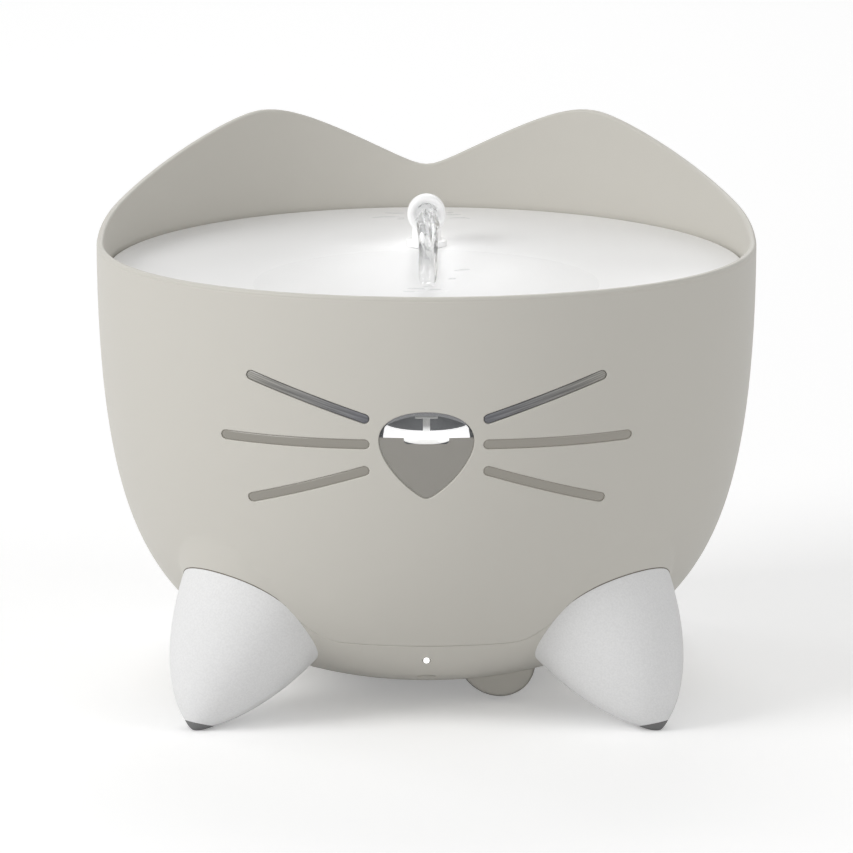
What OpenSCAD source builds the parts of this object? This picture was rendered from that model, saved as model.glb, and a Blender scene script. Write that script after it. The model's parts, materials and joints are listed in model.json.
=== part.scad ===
// Pet water fountain: a bowl with two ear-shaped rim crests on four short legs.
// A magnet-driven pump lifts water through a riser to a spout on a lift-off dish.
// +Z is up, the front faces -Y, and the origin is on the floor below the bowl's axis.

/* [Bowl] */
// Diameter of the bowl at its rim
body_d = 240; // [238:1:243]
// Wall thickness of the bowl
wall = 2.6; // [2.4:0.1:2.8]
// Height of the rim at the front
rim_front_z = 165.5; // [164:0.5:167]
// Drop of the rim from the front to the sides
rim_drop = 3; // [2:0.5:4]
// Height of the ear tips
ear_z = 192.4; // [189:0.2:195]
// Distance of each ear tip from the middle
ear_x = 62.4; // [60:0.2:65]
// Height of the seam between the bowl and the base cover
seam_z = 32.3; // [32:0.1:32.6]

/* [Dish] */
// Height of the dish's upper face
dish_z = 152.4; // [151.8:0.2:153]
// Depth of the drinking basin
basin_depth = 10; // [8:0.5:10.5]
// Number of drain holes in the basin
drain_count = 9; // [5:2:11]

/* [Legs] */
// Distance of each leg's head from the bowl's axis
leg_r = 88.3; // [88:0.1:88.6]
// Radius of each leg's head
leg_head_r = 28.5; // [28:0.1:28.8]
// Lean of each leg's axis below the horizontal
leg_lean = 50.6; // [50.2:0.2:51]

/* [Face window] */
// Width of a whisker slot
whisker_w = 3.5; // [3:0.1:4]
// Thickness of the clear lens behind the bowl's wall
lens_t = 2; // [1.6:0.1:2.2]

/* [Pump] */
// Distance of the pump's axis behind the bowl's axis
pump_y = 26; // [25.6:0.1:26.2]
// Number of impeller blades
blade_count = 6; // [4:1:8]

/* [Hidden] */

$fn = 72;
eps = 0.01;
fit = 0.05;

taupe = "#C4C1B8";
white = "#F2F2F0";
smoke = "#6A6A6C";
clear_tint = "#C9D2D6A0";
rubber_grey = "#5C5C5C";
board_green = "#2F6B45";
steel = "#B8BABD";
copper = "#B87333";
black = "#232323";

// Bowl
body_r = body_d / 2;
top_z = ear_z + 4;
bottom_z = 4.3;
skin_steps = 20;
skin_pts = [[body_r, 161.3], [body_r - 0.2, 38.7], [0.787 * body_r, 55.5],
    [0.8015 * body_r, 2.2], [0, bottom_z]];
rim_steps = 40;
ear_slope = 0.56;
ear_round = 16.3;
valley_round = 5.8;
rise_slope = 0.2;
rise_start = 38;
rise_curve = 0.0027;
floor_top = 36;
floor_t = 2.5;
floor_bottom = floor_top - floor_t;
ledge_z = dish_z - 6.2;
ledge_t = 3;
ledge_r = 112.5;

// Base cover
base_wall = 2.4;
seal_r = 84;
seal_w = 2.4;
base_screw_r = 62;
boss_r = 4.6;
boss_split_z = 26;
counterbore_z = 21;
screw_r = 1.5;
screw_head_r = 3;

// Round-bottomed bulge under the base: its outline joins a wide arc to a tighter one
bulge_x = 27;
bulge_low = 1.9;
bulge_left_r = 16;
bulge_right_r = 12.5;
bulge_front = -43;
bulge_back = -16;
bulge_wall = 2.4;

// Power inlet, in a pocket at the rear of the base
inlet_x = 22;
inlet_y = 64;
inlet_z = 24;
inlet_w = 9;
inlet_h = 3.3;
inlet_depth = 7;
pocket_half_w = 8.5;
pocket_half_h = 5;
pocket_wall = 2;

// Control board
board_low = [-8, -52, 18];
board_high = [36, -12, 19.6];
board_xs = [-5, 33];
board_ys = [-49, -15];

// Status light
light_z = 25.1;
light_y = -80.7;
pipe_r = 1.3;
bezel_r = 2.3;

// Legs
leg_z = 35.5;
leg_len = 47.8;
leg_neck = 5.8;
head_t = -8;
leg_bulge = 1.5;
leg_taper = 0.8;
leg_steps = 16;
leg_hollow_steps = 11;
leg_wall = 2.6;
leg_boss_r = 3.6;
pocket_gap = 0.25;
socket_t = 2.2;
leg_screw_x = 21;
leg_screw_y = 8;
foot_tilt = 16.7;
foot_mid_r = 114;
foot_mid_z = 1.9;
leg_clear_z = 0.4;
leg_angles = [225, 315, 135, 45];

// Face window: outlines are in the plane seen from the front, [x, z]
nose_top_z = 124.2;
nose_tip_z = 92.3;
nose_half_w = 16.8;
nose_wide_z = 113.6;
whisker_root_x = 21.8;
whisker_roots_z = [121.4, 112.1, 102.3];
whisker_tips = [[61.7, 134.1], [70.8, 110.9], [61.3, 88.9]];
lens_half_w = 76;
lens_low_z = 83;
lens_high_z = 139;
lens_gap = 0.15;
seal_t = 0.6;

// Float and its chamber behind the nose
guide_y = -85.65;
guide_r = 15;
guide_half_w = 15.6;
guide_wall = 1.4;
guide_top = 121;
shelf_t = 0.9;
float_y = -102.4;
float_r = 8;
float_low_z = 111;
float_travel = 16;
plate_z = 113.4;
plate_t = 0.8;
plate_gap = 0.3;
plate_r = 110.9;
stem_y = -103.5;
stem_r = 1.2;
stem_top = 120.1;

// Pump
well_r = 10.5;
well_wall = 1.6;
well_bottom = 18.6;
shaft_r = 1.5;
shaft_top = 56;
running_fit = 0.06;
magnet_r = 9.3;
sleeve_r = 3.2;
rotor_low = 20.4;
impeller_r = 13;
chamber_r = 14.5;
chamber_top = 49;
volute_r = 22;
volute_top = 52;
cover_top = 62;
stator_low = 19;
stator_high = 29;
stator_in = 12.5;
stator_out = 24;
pole_count = 6;
spout_y = 46.4;
riser_r = 6.2;
riser_bore = 4;
riser_top = 141;
tower_r = 7.5;

// Filter
can_y = 4;
can_r = 54;
can_wall = 2.2;
can_top = 92;
tray_z = 70;
tray_t = 2;
collar_y = 36.2;
filter_y = -10;
filter_r = 36.5;
frame_wall = 1.5;
foam_z = 74;
carbon_z = 80;
lid_z = 87;

// Dish and spout
dish_r = 116.4;
dish_t = 2.5;
skirt_t = 3;
basin_y = -25;
basin_r = 60;
basin_floor_r = 50;
drain_r = 2.6;
socket_r = 6.6;
socket_low = 134;
collar_r = 7.6;
column_r = 5.6;
mouth_z = 164.5;
mouth_y = 38.5;
nozzle_r = 7.2;
mouth_bore = 4;

// ---- Shared curves ----

function bezier(p, t) = len(p) == 1 ? p[0]
    : bezier([for (i = [0 : len(p) - 2]) (1 - t) * p[i] + t * p[i + 1]], t);

function heading(t) =
    let (d = bezier([for (i = [0 : len(skin_pts) - 2]) skin_pts[i + 1] - skin_pts[i]], t))
    d / norm(d);

// Point on the bowl's outer curve, moved inwards by depth
function skin(t, depth = 0) =
    let (p = bezier(skin_pts, t), h = heading(t))
    [t < 1 ? p[0] + depth * h[1] : 0, p[1] - depth * h[0]];

function skin_row(depth) = [for (i = [0 : skin_steps]) skin(i / skin_steps, depth)];

function reversed(list) = [for (i = [len(list) - 1 : -1 : 0]) list[i]];

// Rim height at the front, over the ears and along the sides behind the middle
function front_rim(x) = rim_front_z - rim_drop * pow(x / body_r, 2);
function ear(x) = ear_z + ear_slope
    * (ear_round - norm([norm([x, valley_round]) - ear_x, ear_round]));
function side_rise(y) = rim_front_z - rim_drop + rise_slope * y
    + rise_curve * pow(max(0, y - rise_start), 2);

module along_y(length) {
    rotate([90, 0, 0]) linear_extrude(height = length, center = true) children();
}

module along_x(length) {
    rotate([90, 0, 90]) linear_extrude(height = length, center = true) children();
}

module ring(r_out, r_in, z0, z1) {
    translate([0, 0, z0]) difference() {
        cylinder(r = r_out, h = z1 - z0);
        translate([0, 0, -1]) cylinder(r = r_in, h = z1 - z0 + 2);
    }
}

module post(x, y, r, z0, z1) {
    translate([x, y, z0]) cylinder(r = r, h = z1 - z0);
}

module block(low, high) {
    translate(low) cube(high - low);
}

module slab(z0, z1) {
    post(0, 0, body_r + 20, z0, z1);
}

// Everything inside the bowl's outer curve moved inwards by depth
module body_solid(depth = 0) {
    rotate_extrude() polygon(concat([[0, top_z], [body_r - depth, top_z]], skin_row(depth)));
}

// The layer of the bowl between two depths
module skin_layer(d0, d1) {
    rotate_extrude() polygon(concat([[body_r - d0, top_z]], skin_row(d0),
        reversed(skin_row(d1)), [[body_r - d1, top_z]]));
}

// ---- Bowl ----

module rim_outline(height_at) {
    half = body_r + 1;
    polygon(concat([[half, seam_z], [-half, seam_z]], height_at));
}

module rim_keep() {
    half = body_r + 1;
    xs = [for (i = [0 : rim_steps]) -half + 2 * half * i / rim_steps];
    along_y(2 * half + 2) rim_outline([for (x = xs) [x, front_rim(x)]]);
    intersection() {
        along_y(2 * half + 2) rim_outline([for (x = xs) [x, ear(x)]]);
        along_x(2 * half + 2) polygon(concat([[half, seam_z], [0, seam_z]],
            [for (x = xs) if (x >= 0) [x, side_rise(x)]]));
    }
}

module nose_outline() {
    right = concat(
        [for (i = [0 : 8]) bezier([[0, nose_top_z], [9.5, nose_top_z], [nose_half_w, 120.5],
            [nose_half_w, nose_wide_z]], i / 8)],
        [for (i = [1 : 8]) bezier([[nose_half_w, nose_wide_z], [nose_half_w, 107],
            [9.5, 98], [2.4, 93.1]], i / 8)]);
    polygon(concat(right, [[0, nose_tip_z]], [for (p = reversed(right)) if (p[0] > 0) [-p[0], p[1]]]));
}

module whisker_outline(root, tip, width) {
    run = tip - root;
    translate(root) rotate(atan2(run[1], run[0])) {
        translate([0, -width / 2]) square([norm(run), width]);
        circle(d = width);
        translate([norm(run), 0]) circle(d = width);
    }
}

// The nose and six whiskers as prisms through the front wall, made smaller by gap
module face_prisms(gap = 0) {
    mid_z = (nose_top_z + nose_tip_z) / 2;
    shrink = 1 - gap / nose_half_w;
    translate([0, -body_r + 15, 0]) {
        translate([0, 0, mid_z]) scale([shrink, 1, shrink]) translate([0, 0, -mid_z])
            along_y(50) nose_outline();
        for (side = [-1, 1], i = [0 : 2])
            along_y(50) whisker_outline([side * whisker_root_x, whisker_roots_z[i]],
                [side * whisker_tips[i][0], whisker_tips[i][1]], whisker_w - 2 * gap);
    }
}

module lens_area() {
    block([-lens_half_w, -body_r - 1, lens_low_z], [lens_half_w, -60, lens_high_z]);
}

module at_leg(angle) {
    rotate([0, 0, angle]) translate([leg_r, 0, leg_z]) rotate([0, 90 + leg_lean, 0]) children();
}

module leg_pockets() {
    for (angle = leg_angles)
        at_leg(angle) post(0, 0, leg_head_r + pocket_gap, head_t, 30);
}

// Walls behind the leg heads, inside the bowl
module leg_sockets(depth) {
    intersection() {
        body_solid(depth);
        for (angle = leg_angles)
            at_leg(angle) post(0, 0, leg_head_r + pocket_gap + socket_t, head_t - socket_t, 10);
    }
}

module socket_space() {
    for (angle = leg_angles)
        at_leg(angle) post(0, 0, leg_head_r + pocket_gap + socket_t, head_t - socket_t, 30);
}

module base_screw_spots() {
    for (i = [0 : 3])
        rotate([0, 0, 90 * i]) translate([base_screw_r, 0, 0]) children();
}

module outer_shell() {
    color(taupe) difference() {
        union() {
            intersection() {
                skin_layer(0, wall);
                rim_keep();
            }
            intersection() {
                slab(seam_z, 80);
                leg_sockets(wall / 2);
            }
        }
        leg_pockets();
        face_prisms();
    }
}

// Floor of the tank with the pump's well, welded into the bowl
module tank_floor() {
    color(taupe) difference() {
        union() {
            difference() {
                intersection() {
                    slab(floor_bottom, floor_top);
                    body_solid(wall);
                }
                socket_space();
            }
            post(0, pump_y, well_r + well_wall, well_bottom - well_wall, floor_top);
            base_screw_spots() post(0, 0, boss_r, boss_split_z, floor_bottom + 1);
        }
        post(0, pump_y, well_r, well_bottom, floor_top + 1);
        base_screw_spots() post(0, 0, screw_r, boss_split_z - 1, floor_bottom - 0.5);
    }
}

// Ring inside the bowl that carries the dish
module dish_ledge() {
    color(taupe) intersection() {
        ring(body_r, ledge_r, ledge_z - ledge_t, ledge_z);
        body_solid(wall);
    }
}

// ---- Window ----

module window_seal() {
    color(rubber_grey) difference() {
        intersection() {
            skin_layer(wall, wall + seal_t);
            lens_area();
        }
        face_prisms();
    }
}

module window_lens() {
    back = wall + seal_t + lens_t;
    color(clear_tint) {
        intersection() {
            union() {
                skin_layer(wall + seal_t, back);
                intersection() {
                    skin_layer(0.3, wall + seal_t + 0.5);
                    face_prisms(lens_gap);
                }
            }
            lens_area();
        }
    }
}

// Open-topped chamber between the lens and a round wall, with a shelf that stops the float
module float_guide() {
    half = guide_half_w + guide_wall;
    low = float_low_z - float_travel - plate_gap - shelf_t;
    color(smoke) difference() {
        intersection() {
            body_solid(wall + seal_t + lens_t);
            block([-half, -body_r, low], [half, guide_y, guide_top]);
        }
        difference() {
            block([-guide_half_w, -body_r - 1, low + shelf_t],
                [guide_half_w, guide_y - 2.5, guide_top + 1]);
            post(0, guide_y, guide_r, low, guide_top + 1);
        }
        post(0, guide_y, guide_r - guide_wall, low - 1, guide_top + 1);
    }
}

module level_float() {
    half = guide_half_w - plate_gap;
    color(white) {
        difference() {
            union() {
                intersection() {
                    post(0, 0, plate_r, plate_z, plate_z + plate_t);
                    block([-half, -body_r, 0], [half, guide_y - 2.5 - plate_gap, top_z]);
                }
                translate([0, float_y, float_low_z]) rotate_extrude() polygon([[0, 0],
                    [float_r - 1.2, 0], [float_r, 1.2], [float_r, plate_z - float_low_z],
                    [0, plate_z - float_low_z]]);
            }
            post(0, guide_y, guide_r + plate_gap, float_low_z - 1, plate_z + 2);
        }
        post(0, stem_y, stem_r, plate_z, stem_top - 0.3);
        block([-4.1, stem_y - stem_r, stem_top - 0.7], [4.1, stem_y + stem_r, stem_top]);
    }
}

// ---- Base ----

module inlet_outline(grow) {
    half = (inlet_w - inlet_h) / 2;
    for (side = [-1, 1])
        translate([side * half, 0]) circle(d = inlet_h + 2 * grow);
    square([2 * half, inlet_h + 2 * grow], center = true);
}

module inlet_prism(grow, y0, y1) {
    translate([inlet_x, (y0 + y1) / 2, inlet_z]) along_y(y1 - y0) inlet_outline(grow);
}

module inlet_pocket(grow, y0) {
    block([inlet_x - pocket_half_w - grow, y0, inlet_z - pocket_half_h - grow],
        [inlet_x + pocket_half_w + grow, body_r, inlet_z + pocket_half_h + grow]);
}

// The bulge's section as a prism, made smaller by inset on every side
module bulge_form(inset) {
    left = bulge_left_r - inset;
    right = bulge_right_r - inset;
    mid = (bulge_front + bulge_back) / 2;
    translate([bulge_x, mid, 0]) along_y(bulge_back - bulge_front - 2 * inset) polygon(concat(
        [for (a = [180 : 10 : 270]) [left * cos(a), bulge_low + bulge_left_r + left * sin(a)]],
        [for (a = [280 : 10 : 360]) [right * cos(a), bulge_low + bulge_right_r + right * sin(a)]],
        [[right, 30], [-left, 30]]));
}

module base_cover() {
    color(taupe) difference() {
        union() {
            intersection() {
                skin_layer(0, base_wall);
                slab(0, seam_z);
            }
            intersection() {
                ring(seal_r, seal_r - seal_w, 20, seam_z);
                body_solid(base_wall / 2);
            }
            intersection() {
                slab(0, seam_z);
                leg_sockets(base_wall / 2);
            }
            intersection() {
                body_solid(base_wall / 2);
                union() {
                    base_screw_spots() post(0, 0, boss_r, 0, boss_split_z);
                    for (i = [0 : 2])
                        translate([0, pump_y, 0]) rotate([0, 0, 120 * i + 30])
                            post(stator_out - 2, 0, 1.6, 0, stator_low);
                    for (x = board_xs, y = board_ys)
                        post(x, y, 2, 0, board_low[2]);
                    block([-5, -75.2, 0], [5, -73, 24.2]);
                }
            }
            translate([0, light_y, light_z]) rotate([-90, 0, 0]) cylinder(r = bezel_r, h = 4);
            difference() {
                bulge_form(0);
                body_solid(base_wall / 2);
                slab(seam_z - 6, 60);
            }
            intersection() {
                body_solid(base_wall / 2);
                inlet_pocket(pocket_wall, inlet_y - pocket_wall);
                slab(0, seam_z);
            }
        }
        leg_pockets();
        base_screw_spots() {
            post(0, 0, screw_head_r + 0.4, 0, counterbore_z);
            post(0, 0, screw_r + 0.2, 0, boss_split_z + 1);
        }
        for (angle = leg_angles)
            leg_screw_spots(angle) post(0, 0, screw_r + 0.2, head_t - 5, head_t + 1);
        bulge_form(bulge_wall);
        inlet_pocket(0, inlet_y);
        inlet_prism(0.1, inlet_y - pocket_wall - 1, inlet_y + 1);
        translate([0, light_y - 4, light_z]) rotate([-90, 0, 0]) cylinder(r = pipe_r + fit, h = 12);
        block([-1.7, light_y + 4.1, light_z - 0.9], [1.7, light_y + 8, light_z + 2]);
        for (x = board_xs, y = board_ys)
            post(x, y, 0.8, board_low[2] - 3.5, board_low[2] + 1);
    }
}

// Four arcs of one seal, cut where the legs' sockets pass through it
module base_seal() {
    color(rubber_grey) difference() {
        ring(seal_r, seal_r - seal_w, seam_z, floor_bottom);
        socket_space();
    }
}

module base_screws() {
    color(steel) base_screw_spots() difference() {
        union() {
            post(0, 0, screw_head_r, counterbore_z - 2, counterbore_z);
            post(0, 0, screw_r, counterbore_z, floor_bottom - 1);
        }
        translate([0, 0, counterbore_z - 3]) cylinder(r = 1.3, h = 2, $fn = 6);
    }
}

// ---- Legs ----

function leg_radius(u) = leg_head_r * pow(1 - pow(u, leg_bulge), leg_taper);
function leg_row(last, inset) = [for (i = [0 : last]) let (u = i / leg_steps)
    [leg_radius(u) - inset, (leg_len + leg_neck) * u - leg_neck]];

module leg_form() {
    rotate_extrude() polygon(concat([[0, head_t], [leg_head_r, head_t]], leg_row(leg_steps, 0)));
}

module leg_cavity() {
    row = leg_row(leg_hollow_steps, leg_wall);
    rotate_extrude() polygon(concat([[0, head_t - 1], [leg_head_r - leg_wall, head_t - 1]],
        row, [[0, row[leg_hollow_steps][1]]]));
}

module leg_screw_spots(angle) {
    for (side = [-1, 1])
        at_leg(angle) translate([leg_screw_x, side * leg_screw_y, 0]) children();
}

// Half-space below the tilted cut between a leg and its rubber foot
module foot_cut(angle) {
    rotate([0, 0, angle]) translate([foot_mid_r, 0, foot_mid_z]) rotate([0, -foot_tilt, 0])
        block([-40, -40, -20], [40, 40, 0]);
}

module leg(angle) {
    color(white) difference() {
        at_leg(angle) leg_form();
        difference() {
            at_leg(angle) leg_cavity();
            leg_screw_spots(angle) post(0, 0, leg_boss_r, head_t, head_t + 16);
        }
        foot_cut(angle);
        slab(-30, leg_clear_z);
        leg_screw_spots(angle) post(0, 0, screw_r, head_t - 1, head_t + 14);
    }
}

module foot(angle) {
    color(rubber_grey) intersection() {
        at_leg(angle) leg_form();
        foot_cut(angle);
        slab(0, 10);
    }
}

module leg_screws() {
    under = head_t - socket_t;
    color(steel) for (angle = leg_angles)
        leg_screw_spots(angle) {
            post(0, 0, 2.4, under - 1.6, under);
            post(0, 0, screw_r, under, head_t + 12);
        }
}

module leg_front_left() { leg(leg_angles[0]); }
module leg_front_right() { leg(leg_angles[1]); }
module leg_rear_left() { leg(leg_angles[2]); }
module leg_rear_right() { leg(leg_angles[3]); }
module foot_front_left() { foot(leg_angles[0]); }
module foot_front_right() { foot(leg_angles[1]); }
module foot_rear_left() { foot(leg_angles[2]); }
module foot_rear_right() { foot(leg_angles[3]); }

// ---- Electronics ----

module light_pipe() {
    color(clear_tint) translate([0, light_y, light_z]) rotate([-90, 0, 0])
        cylinder(r = pipe_r, h = 4.1);
}

module indicator_led() {
    color("#FFF6D8") block([-1.6, light_y + 4.1, light_z - 0.8], [1.6, -75, light_z + 0.8]);
}

module light_board() {
    color(board_green) block([-5, -75, 24.2], [5, -74, 31]);
}

module control_board() {
    color(board_green) difference() {
        block(board_low, board_high);
        for (x = board_xs, y = board_ys)
            post(x, y, 0.9, board_low[2] - 1, board_high[2] + 1);
    }
}

// The widest part hangs under the board, into the bulge
module board_parts() {
    top = board_high[2];
    color(black) {
        block([2, -44, top], [9, -37, top + 1.4]);
        block([20, -48, top], [26, -43, top + 1.8]);
        post(4, -26, 3, top, top + 7.5);
        post(14, -20, 2.2, top, top + 5);
        post(bulge_x - 1, -30, 6, 8.5, board_low[2]);
    }
}

module board_screws() {
    top = board_high[2];
    color(steel) for (x = board_xs, y = board_ys) {
        post(x, y, 1.6, top, top + 1.2);
        post(x, y, 0.8, board_low[2] - 3, top);
    }
}

module power_inlet() {
    color(steel) difference() {
        inlet_prism(0, inlet_y - inlet_depth, inlet_y);
        inlet_prism(-0.3, inlet_y - inlet_depth + 0.6, inlet_y + 1);
    }
}

module inlet_tongue() {
    color(black) block([inlet_x - 3, inlet_y - inlet_depth + 0.6, inlet_z - 0.35],
        [inlet_x + 3, inlet_y - 1, inlet_z + 0.35]);
}

module inlet_board() {
    top = inlet_z + inlet_h / 2;
    color(board_green) block([inlet_x - 5.5, inlet_y - 14, top],
        [inlet_x + 5.5, inlet_y - pocket_wall - 0.2, top + 1]);
}

// ---- Motor and pump ----

module poles() {
    translate([0, pump_y, 0])
        for (i = [0 : pole_count - 1])
            rotate([0, 0, 360 * i / pole_count]) children();
}

module stator_core() {
    color(steel) difference() {
        union() {
            translate([0, pump_y, 0]) ring(stator_out, stator_out - 3.5, stator_low, stator_high);
            poles() block([stator_in, -2, stator_low], [stator_out - 1, 2, stator_high]);
        }
        translate([0, pump_y, 0]) post(0, 0, stator_in, stator_low - 1, stator_high + 1);
    }
}

module stator_coils() {
    color(copper) poles() difference() {
        block([14.8, -4.2, stator_low - 1.6], [20, 4.2, stator_high + 1.6]);
        block([14, -2, stator_low], [21, 2, stator_high]);
    }
}

module bush(z0, z1, r_out) {
    color("#8C8C88") translate([0, pump_y, 0]) ring(r_out, shaft_r + 0.02, z0, z1);
}

module shaft_bush_lower() { bush(well_bottom, rotor_low - 0.4, 4); }
module shaft_bush_upper() { bush(52.8, shaft_top, 3); }

module impeller_shaft() {
    color(steel) post(0, pump_y, shaft_r, well_bottom, shaft_top);
}

module impeller() {
    color(white) translate([0, pump_y, 0]) difference() {
        union() {
            post(0, 0, sleeve_r, rotor_low, 39);
            post(0, 0, impeller_r, 38, 39.4);
            post(0, 0, 4, 39, 47.5);
            for (i = [0 : blade_count - 1])
                rotate([0, 0, 360 * i / blade_count])
                    block([3, -0.6, 39], [impeller_r - 0.5, 0.6, 46]);
        }
        post(0, 0, shaft_r + running_fit, rotor_low - 1, 49);
    }
}

module impeller_magnet() {
    color(black) translate([0, pump_y, 0]) ring(magnet_r, sleeve_r, rotor_low, 37.6);
}

module pump_housing() {
    color("#D9D9D6") difference() {
        union() {
            post(0, pump_y, volute_r, floor_top, volute_top);
            post(0, spout_y, tower_r, floor_top, 66);
        }
        post(0, pump_y, chamber_r, floor_top - 1, chamber_top);
        post(0, pump_y, 6.5, floor_top, volute_top + 1);
        translate([0, pump_y + 5, 43]) rotate([-90, 0, 0]) cylinder(r = riser_bore, h = spout_y - pump_y - 5);
        post(0, spout_y, riser_bore, 41, 60);
        post(0, spout_y, riser_r + fit, 52, 67);
        cover_screw_spots() post(0, 0, 1, 44, volute_top + 1);
    }
}

module cover_screw_spots() {
    translate([0, pump_y, 0])
        for (i = [0 : 2])
            rotate([0, 0, 90 * i + 180]) translate([18.3, 0, 0]) children();
}

module pump_cover() {
    color("#D9D9D6") translate([0, pump_y, 0]) difference() {
        union() {
            difference() {
                post(0, 0, 14, volute_top, cover_top);
                post(0, 0, 12, volute_top - 1, cover_top - 2);
                for (i = [0 : 5])
                    rotate([0, 0, 60 * i]) block([8, -3, volute_top + 1.6], [20, 3, cover_top - 3]);
            }
            ring(20.6, 12, volute_top, volute_top + 1.4);
            post(0, 0, 4.4, 52.8, cover_top - 1);
        }
        post(0, 0, 3, 50, shaft_top);
        translate([0, spout_y - pump_y, 0]) post(0, 0, tower_r + 0.1, 50, 70);
        for (i = [0 : 2])
            rotate([0, 0, 90 * i + 180]) post(18.3, 0, 1.1, 50, 60);
    }
}

module pump_screws() {
    color(steel) cover_screw_spots() {
        post(0, 0, 2, volute_top + 1.4, volute_top + 3);
        post(0, 0, 1, 46, volute_top + 1.4);
    }
}

module riser_tube() {
    color(white) translate([0, spout_y, 0]) difference() {
        post(0, 0, riser_r, 52, riser_top);
        post(0, 0, riser_bore, 51, riser_top + 1);
        ring(riser_r + 1, 5.2, 136.5, 138.1);
    }
}

module riser_seal() {
    color(black) translate([0, spout_y, 0]) ring(6.3, 5.2, 136.5, 138.1);
}

// ---- Filter ----

// Half of the space that holds the riser's side of the tray, or the other half
module tray_half(riser_side) {
    y0 = riser_side ? collar_y : -body_r;
    block([-body_r, y0, 0], [body_r, y0 + body_r + (riser_side ? 0 : collar_y), top_z]);
}

module filter_housing() {
    color(white) difference() {
        union() {
            translate([0, can_y, 0]) ring(can_r, can_r - can_wall, floor_top, can_top);
            intersection() {
                post(0, can_y, can_r - 1, tray_z, tray_z + tray_t);
                tray_half(false);
            }
            translate([0, filter_y, 0]) ring(filter_r + 2.4, filter_r + 0.4, tray_z, can_top);
            for (angle = [225, 315])
                translate([0, pump_y, 0]) rotate([0, 0, angle])
                    post(17.5, 0, 2.2, volute_top + 1.4, tray_z + 1);
        }
        translate([0, filter_y, 0]) for (i = [0 : 11], r = [14, 27])
            rotate([0, 0, 30 * i]) post(r, 0, 2.6, tray_z - 1, tray_z + tray_t + 1);
        translate([0, can_y, 0]) for (i = [0 : 7])
            rotate([0, 0, 45 * i]) block([can_r - 10, -2.5, floor_top - 1], [can_r + 1, 2.5, 56]);
    }
}

// Collar that steadies the riser, with the part of the tray round it
module riser_collar() {
    color(white) difference() {
        union() {
            intersection() {
                post(0, can_y, can_r - can_wall, tray_z, tray_z + tray_t);
                tray_half(true);
            }
            post(0, spout_y, tower_r + 1.6, tray_z, can_top);
        }
        post(0, spout_y, tower_r + 0.1, tray_z - 1, can_top + 1);
    }
}

module filter_frame() {
    bottom = tray_z + tray_t;
    color("#E6E6E2") translate([0, filter_y, 0]) difference() {
        post(0, 0, filter_r, bottom, lid_z);
        post(0, 0, filter_r - frame_wall, foam_z, lid_z + 1);
        for (i = [0 : 11], r = [14, 27])
            rotate([0, 0, 30 * i]) post(r, 0, 2.4, bottom - 1, foam_z + 1);
    }
}

module filter_foam() {
    color("#4F6F86") post(0, filter_y, filter_r - frame_wall, foam_z, carbon_z);
}

module filter_carbon() {
    color("#2B2B2B") post(0, filter_y, filter_r - frame_wall, carbon_z, lid_z);
}

module filter_lid() {
    color(white) translate([0, filter_y, 0]) difference() {
        union() {
            post(0, 0, filter_r, lid_z, lid_z + 2);
            post(0, 0, 5, lid_z, 97);
            post(0, 0, 9, 95.6, 98);
        }
        for (i = [0 : 11], r = [15, 28])
            rotate([0, 0, 30 * i]) block([r - 5, -1.4, lid_z - 1], [r + 5, 1.4, lid_z + 2.5]);
    }
}

// ---- Dish and spout ----

module top_dish() {
    basin_z = dish_z - basin_depth;
    color(white) difference() {
        union() {
            post(0, 0, dish_r, dish_z - dish_t, dish_z);
            ring(dish_r, dish_r - skirt_t, ledge_z + 1.2, dish_z - 1);
            translate([0, basin_y, basin_z - dish_t])
                cylinder(r1 = basin_floor_r + 1.5, r2 = basin_r + 1.5, h = basin_depth);
            post(0, spout_y, socket_r + 2.4, socket_low, dish_z - 1);
        }
        translate([0, basin_y, basin_z])
            cylinder(r1 = basin_floor_r, r2 = basin_r, h = basin_depth + eps);
        post(0, spout_y, socket_r, socket_low - 1, dish_z + 1);
        for (i = [0 : drain_count - 1])
            translate([0, basin_y, 0]) rotate([0, 0, -90 + 11 * (i - (drain_count - 1) / 2)])
                post(basin_floor_r - 6, 0, drain_r, basin_z - dish_t - 1, basin_z + 1);
    }
}

module dish_ring() {
    color(rubber_grey) ring(dish_r - 0.4, dish_r - skirt_t + 0.2, ledge_z, ledge_z + 1.2);
}

module spout() {
    tail = dish_z - 9;
    dome = [for (a = [0 : 15 : 90]) [nozzle_r * cos(a), mouth_z + nozzle_r * sin(a)]];
    color(white) difference() {
        union() {
            translate([0, spout_y, 0]) rotate_extrude() polygon(concat([[0, tail], [6.2, tail],
                [6.2, dish_z], [collar_r, dish_z], [collar_r, dish_z + 1.6],
                [column_r, dish_z + 1.6]], dome));
            translate([0, mouth_y, mouth_z]) rotate([-90, 0, 0])
                cylinder(r = nozzle_r - 0.3, h = spout_y - mouth_y - 2);
        }
        post(0, spout_y, mouth_bore - 0.3, tail - 1, mouth_z + 1);
        translate([0, mouth_y - 1, mouth_z]) rotate([-90, 0, 0])
            cylinder(r = mouth_bore, h = spout_y - mouth_y + 2);
        translate([0, spout_y, 0]) ring(8, 5.2, dish_z - 6, dish_z - 4.4);
    }
}

module spout_seal() {
    color(black) translate([0, spout_y, 0]) ring(6.35, 5.2, dish_z - 6, dish_z - 4.4);
}

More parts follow.
